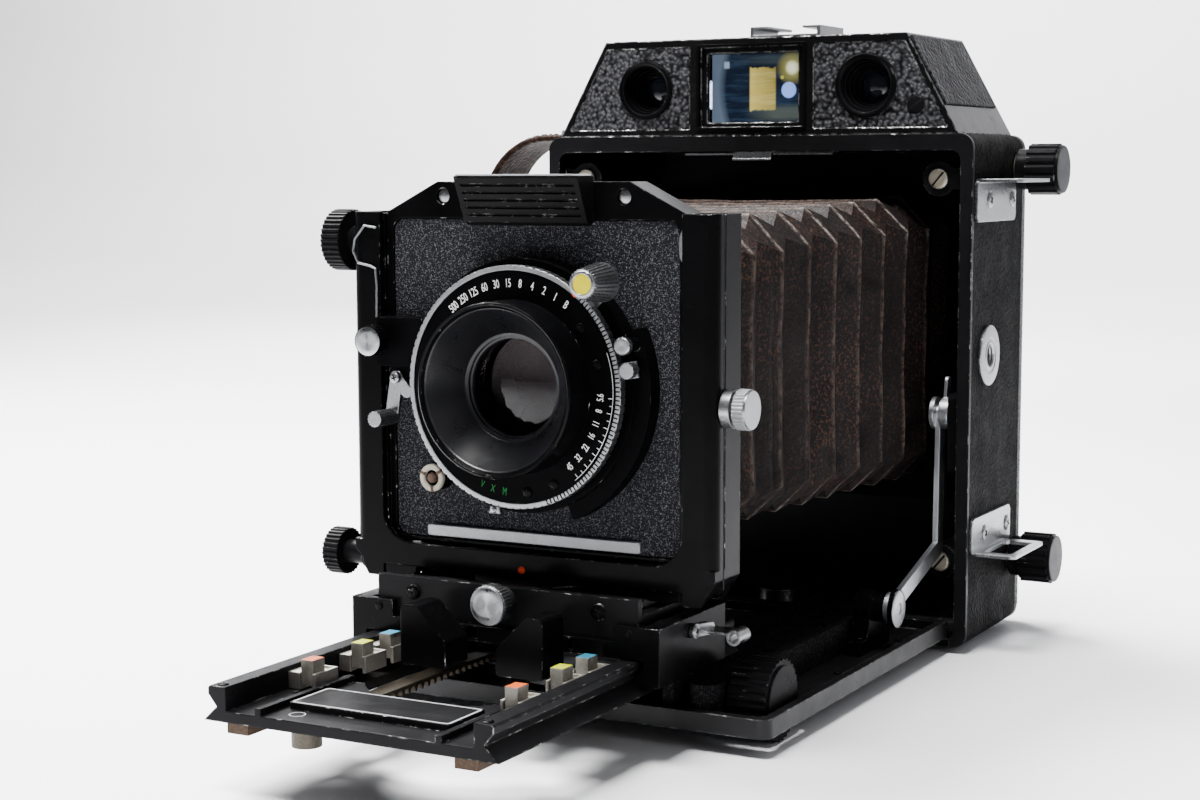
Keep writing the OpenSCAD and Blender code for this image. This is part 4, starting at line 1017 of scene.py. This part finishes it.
# flash terminal at the lower left
TERMINAL = at(-26.8, BOARD_Y - 4.0, LENS_Z - 24.4)
sh.lathe(TERMINAL, FORWARD, [(3.45, -0.2), (3.45, 0.75), (3.2, 1.0), (2.3, 1.0), (2.0, 0.6), (2.0, -0.3)], 32)
for a in (35, 155, 275):
    bar(sh, TERMINAL + radial(a) * 2.8 * MM, radial(a), tangent(a), FORWARD, 1.5, 0.8, 1.02, m=1)
sh.lathe(TERMINAL, FORWARD, [(1.3, -0.2), (1.3, 0.7), (1.0, 1.1), (0.5, 1.25), (0, 1.3)], 20, m=1)
sh.make("flash_terminal_ring", ["terminal", "fibre"], "panel")

# gussets below the ends of the front frame's lower bar
for side in (-1, 1):
    toe = [(side * x, z) for x, z in ((42.0, 37.3), (42.0, 34.9), (40.0, 34.5), (33.6, 34.5), (32.0, 37.3))]
    sh.prism(toe if side < 0 else toe[::-1], at(0, -127.7, 0), *FRONT, 3.1, chamfer=0.2)
sh.make("frame_gussets", "gloss", "standard")

# light lip behind the lower bar, up to the lens panel's lower edge
sh.prism(round_box(-33.4, 33.4, 41.2, 43.45, 0.4), at(0, -125.4, 0), *FRONT, 1.7, chamfer=0.15)
sh.make("light_lip", "interior", "standard")


def spun_face(name, centre, r, body):
    """the turned front of a knob"""
    sh.lathe(centre, FORWARD, [(r, 0), (r * 0.94, 0.12), (r * 0.6, 0.12), (r * 0.3, 0.108), (0, 0.102)], 48)
    sh.make(name, "spun", body)


spun_face("release_knob_face", at(-40.4, -139.72, LENS_Z + 9.9), 3.6, "panel")
spun_face("shift_knob_face", at(0, -150.02, 33.6), 4.35, "shift_lock")
cock = polar(35.6, 46.7, -146.8)
sh.lathe(cock, FORWARD, [(3.2, -0.15), (3.15, 0.1), (2.95, 0.2), (2.5, 0.22), (2.4, 0.05)], 32)
sh.lathe(cock, FORWARD, [(2.4, 0.05), (1.8, 0.1), (0, 0.14)], 32, m=1)
sh.make("cocking_knob_face", ["chrome", "dot_yellow"], "cocking")
for k in range(28):
    out = radial(360 * k / 28)
    sh.tube([cock + (out * r + Vector((0, y, 0))) * MM for r, y in ((3.42, 0.5), (4.55, 8.6))], 0.2, 6)
sh.make("cocking_knob_flutes", "spring", "cocking")
screw(sh, at(-36, -134.35, 85.2), FRONT, 1.35, turn=20)
sh.make("release_lever_screw", ["chrome", "slot_dark"], "release")

cap = at(30.4, -136.85, LENS_Z + 11.2)
sh.lathe(cap, FORWARD, [(1.7, 0), (2.05, 0.15), (2.05, 1.7), (1.85, 1.95), (1.2, 2.0), (0, 1.9)], 32)
for k in range(22):
    out = radial(360 * k / 22) * 2.05
    sh.tube([cap + (out + Vector((0, y, 0))) * MM for y in (-0.25, -1.65)], 0.13, 5)
sh.make("selector_cap", "knurled", "panel")

# ------------------------ lens panel and standard

sh.prism(round_box(-30.2, 30.2, 45.25, 47.95, 0.5), at(0, BOARD_Y, 0), *FRONT, 1.75, chamfer=0.3)
sh.make("board_bar", "bar_metal", "panel")
for x in (-25.4, 25.4):
    sh.lathe(at(x, -126.8, 130.4), FORWARD, [(1.85, 0), (1.8, 0.3), (1.3, 0.55), (0, 0.62)], 24)
sh.make("panel_dowels", "steel", "panel")
# painted highlight: a pale strip along the top edge of the clamp
sh.prism([(-17.0, 0), (17.0, 0), (16.6, 0.5), (-16.6, 0.5)], at(0, -128.1, 135.3), *FRONT, 7.6)
sh.make("clamp_edge_painted_highlight", "worn_line", "clamp")
LOOP = [(-43, 122.5), (-46.5, 123), (-49.5, 119.5), (-50, 116.5), (-48.5, 113.6), (-45, 112.9),
        (-43.3, 112.2), (-43, 108), (-43.1, 100)]
sh.tube([at(x, -131.5, z) for x, z in LOOP], 0.32, 8)
sh.make("post_spring_loop", "spring", "standard")
half_oval = [(-math.cos(t) * 1.6, 4.3 * math.sin(t)) for t in (math.radians(-90 + 15 * k) for k in range(13))]
sh.prism(half_oval, at(41.6, -127.75, 118.9), *FRONT, 0.5, chamfer=0.15)
sh.make("panel_index_plate", "chrome", "panel")
sh.lathe(at(-1.5, -130.97, 38.9), FORWARD, [(0.95, 0), (0.9, 0.3), (0.5, 0.45), (0, 0.5)], 20)
sh.make("centre_dot", "red", "standard")
bar(sh, at(-1.2, -139.8, 35.05), *TOP, 0.9, 1.2, 0.08)
sh.make("shift_centre_mark", "red", "shift", smooth=False)
# seams down the outer faces of the posts
for side in (1, -1):
    bar(sh, at(side * 51.0, -126.2, 82), (0, 1, 0), (0, 0, 1), (side, 0, 0), 0.5, 88, 0.04)
sh.make("post_seams", "slot_dark", "standard", smooth=False)

# ------------------------ finder housing

FINDER_WINDOWS = ((-34.5, 160.4, 8.8), (36, 160.6, 9.2))      # (x, z, radius) of the two round ones
# the view through the middle window, a glowing picture: painted light
sh.prism(round_box(-14.5, 14.5, 150.7, 170.7, 0.5), at(0, 4.9, 0), *FRONT, 0.05)
sh.make("finder_view", "finder_scene", "camera_body")
screw(sh, at(51.1, 0.12, 154.8), FRONT, 2.6, slotted=True, turn=35, depth=0.5)
sh.make("finder_screw", ["anodised", "slot_dark"], "camera_body")
for x, z, r in FINDER_WINDOWS:
    c = at(x, 0, z)
    sh.lathe(c, FORWARD, [(r - 0.05, 0.3), (r - 0.3, 0.75), (r - 0.9, 0.8), (r - 1.3, 0.5)], 64)
    prof = []
    for k in range(9):
        t = k / 8
        prof.append((r - 1.6 - (r - 1.6 - 4.7) * t - (0.15 if k % 2 else 0), 0.2 - t * 6.4))
    sh.lathe(c, FORWARD, prof, 64)
sh.make("finder_ring_lips", "bezel", "camera_body", sharp=50)
for x, z, r in FINDER_WINDOWS:
    sh.lathe(at(x, 8.3, z), FORWARD, [(4.28, -0.2), (4.2, 0.1), (3.0, 0.7), (1.5, 1.0), (0, 1.1)], 40)
sh.make("finder_window_lenses", "dark_glass", "camera_body")
# thin raised frame round the viewing window
outer, inner = round_box(-17.6, 17.6, 148.3, 173.5, 1.0), round_box(-16.7, 16.7, 149.1, 172.7, 0.8)
rings = ((0.05, outer), (-0.45, outer), (-0.45, inner), (0.6, inner))
sh.grid([[at(x, y, z) for x, z in pts] for y, pts in rings], closed_u=True)
sh.make("finder_frame", "bezel", "camera_body", sharp=30)

# ------------------------ body

# rod ends in the front of the body
for y, z in ((3.08, 134), (9.08, 23)):
    for side in (1, -1):
        screw(sh, at(side * 57, y, z), FRONT, 2.75, slotted=True, turn=40 + side * 10, depth=0.3)
sh.make("rod_screw_heads", ["pale_brass", "slot_dark"], "camera_body")
for z in (127.9, 31.85):
    for y in (13.2, 33.8):
        screw(sh, at(69.1, y, z), RIGHT, 2.1, turn=25 + y, depth=0.5)
sh.make("bracket_screws", ["steel", "slot_dark"], "camera_body")
# pale strips down the rear edges of the body
for side in (1, -1):
    for y0, y1, out in ((46.1, 47.2, 0.1), (47.3, 48.2, 0.25)):
        sh.prism(box(y0, y1, 4.5, 142.2), at(side * SIDE_X, 0, 0), (0, 1, 0), (0, 0, 1), (side, 0, 0), out)
sh.make("rear_edge_strips", "worn_grey", "camera_body", smooth=False)
# thread ring of the side socket
for k in range(5):
    sh.lathe(at(68.7 - k * 0.9, 15.9, 83.3), (1, 0, 0), [(3.09, 0.45), (2.75, 0), (3.09, -0.45)], 32)
sh.make("side_socket_thread", "steel", "camera_body", sharp=20)
rim = [(8.6, -0.1), (8.55, 0.12), (8.0, 0.2), (5.2, 0.2), (5.0, 0.05), (4.2, 0.05), (4.0, 0.2), (3.3, 0.2),
       (3.1, -0.2)]
sh.lathe(at(68.9, 15.9, 83.3), (1, 0, 0), rim, 64)
sh.make("side_socket_ring", "chrome", "camera_body", sharp=30)
# brass collars and grey caps of the back knobs
for name, side, z in (("upper_right", 1, 136.6), ("lower_right", 1, 20.8), ("upper_left", -1, 136.6),
                      ("lower_left", -1, 20.8)):
    collar, cap = (at(side * (SIDE_X + out), 41, z) for out in (0.25, 14.0))
    sh.lathe(collar, (side, 0, 0), [(4.9, 0), (5.0, 0.2), (5.0, 1.0), (4.6, 1.2)], 40)
    sh.lathe(cap, (side, 0, 0), [(6.7, -0.1), (6.5, 0.02), (6.1, 0.03), (0, 0.03)], 48, m=1)
    sh.make("back_knob_trim_" + name, ["pale_brass", "grey_cap"], "knob_" + name)

# ------------------------ ground glass lines and back

GLASS_Y = BACK_Y + 7.0
for x in (-28, -14, 0, 14, 28):
    bar(sh, at(x, GLASS_Y, LENS_Z), (0, 0, 1), (1, 0, 0), (0, 1, 0), 60, 0.18, 0.03)
for z in (-20, -10, 0, 10, 20):
    bar(sh, at(0, GLASS_Y, LENS_Z + z), (1, 0, 0), (0, 0, 1), (0, 1, 0), 84, 0.18, 0.03)
sh.make("ground_glass_lines", "slot_dark", "back", smooth=False)
for xs, zs, out, r in (((-54, 54), (38, 126), 9.0, 1.8), ((-50, 0, 50), (27.8, 135.1), 10.5, 1.5)):
    for x in xs:
        for z in zs:
            screw(sh, at(x, BACK_Y + out, z), BACK, r, turn=x + z)
sh.make("back_screws", ["steel", "slot_dark"], "back")

# ------------------------ track, bed and carriage

FIELD_Z = TRACK_Z + 1.6
outer, inner = round_box(-20.8, 20.8, -199.6, -185.4, 0.9), round_box(-20.3, 20.3, -199.1, -185.9, 0.6)
rings = ((FIELD_Z, outer), (FIELD_Z + 0.06, outer), (FIELD_Z + 0.06, inner), (FIELD_Z, inner))
sh.grid([[at(x, y, z) for x, y in pts] for z, pts in rings], closed_u=True)
sh.lathe(at(-16.6, -203.0, TRACK_Z), (0, 0, 1), [(1.9, 0), (1.9, 0.05), (1.65, 0.05), (1.65, 0)], 32)
sh.make("name_field_border", "worn_line", "track", smooth=False)
for x in (-34.6, 34.6):
    screw(sh, at(x, -206, 22.8), TOP, 1.3, turn=x - 206, depth=0.3)
sh.make("track_screws", ["gloss", "slot_dark"], "track")
for side in (1, -1):
    for y in (-82, -48):
        screw(sh, at(side * 43.2, y, 13.55), TOP, 1.75, turn=y + 20, depth=0.3)
    for y in (-100, -64, -20):
        screw(sh, at(side * 55.5, y, 5.1), TOP, 1.5, turn=y, depth=0.35)
sh.make("bed_screws", ["gloss", "slot_dark"], "bed")
for x in (-26, 26):
    screw(sh, at(x, -142.5, 33.2), FRONT, 1.85, turn=x, depth=0.4)
for side in (1, -1):
    screw(sh, at(side * 35, -144.0, 29.2), FRONT, 1.1, turn=side * 15, depth=0.3)
sh.make("carriage_screws", ["gloss", "slot_dark"], "carriage_body")
screw(sh, at(44.3, -127, 27.6), RIGHT, 1.5, turn=15, depth=0.35)
sh.make("catch_screw", ["chrome", "slot_dark"], "catch")
for name, side in (("strut_r", 1), ("strut_l", -1)):
    outwards = ((0, side, 0), (0, 0, 1), (side, 0, 0))
    screw(sh, at(side * 61.2, 6, 67), outwards, 1.8, slotted=True, turn=30, depth=0.3)
    sh.make(name + "_hub_screw", ["steel", "slot_dark"], name)
for side in (1, -1):
    c = at(side * 60, -32.5, 17)
    sh.lathe(c, (side, 0, 0), [(5.25, -0.2), (5.1, 0.15), (4.4, 0.35), (1.6, 0.4), (1.5, 0.1), (0, 0.1)], 40)
sh.make("strut_pivot_caps", "chrome", "bed", sharp=30)
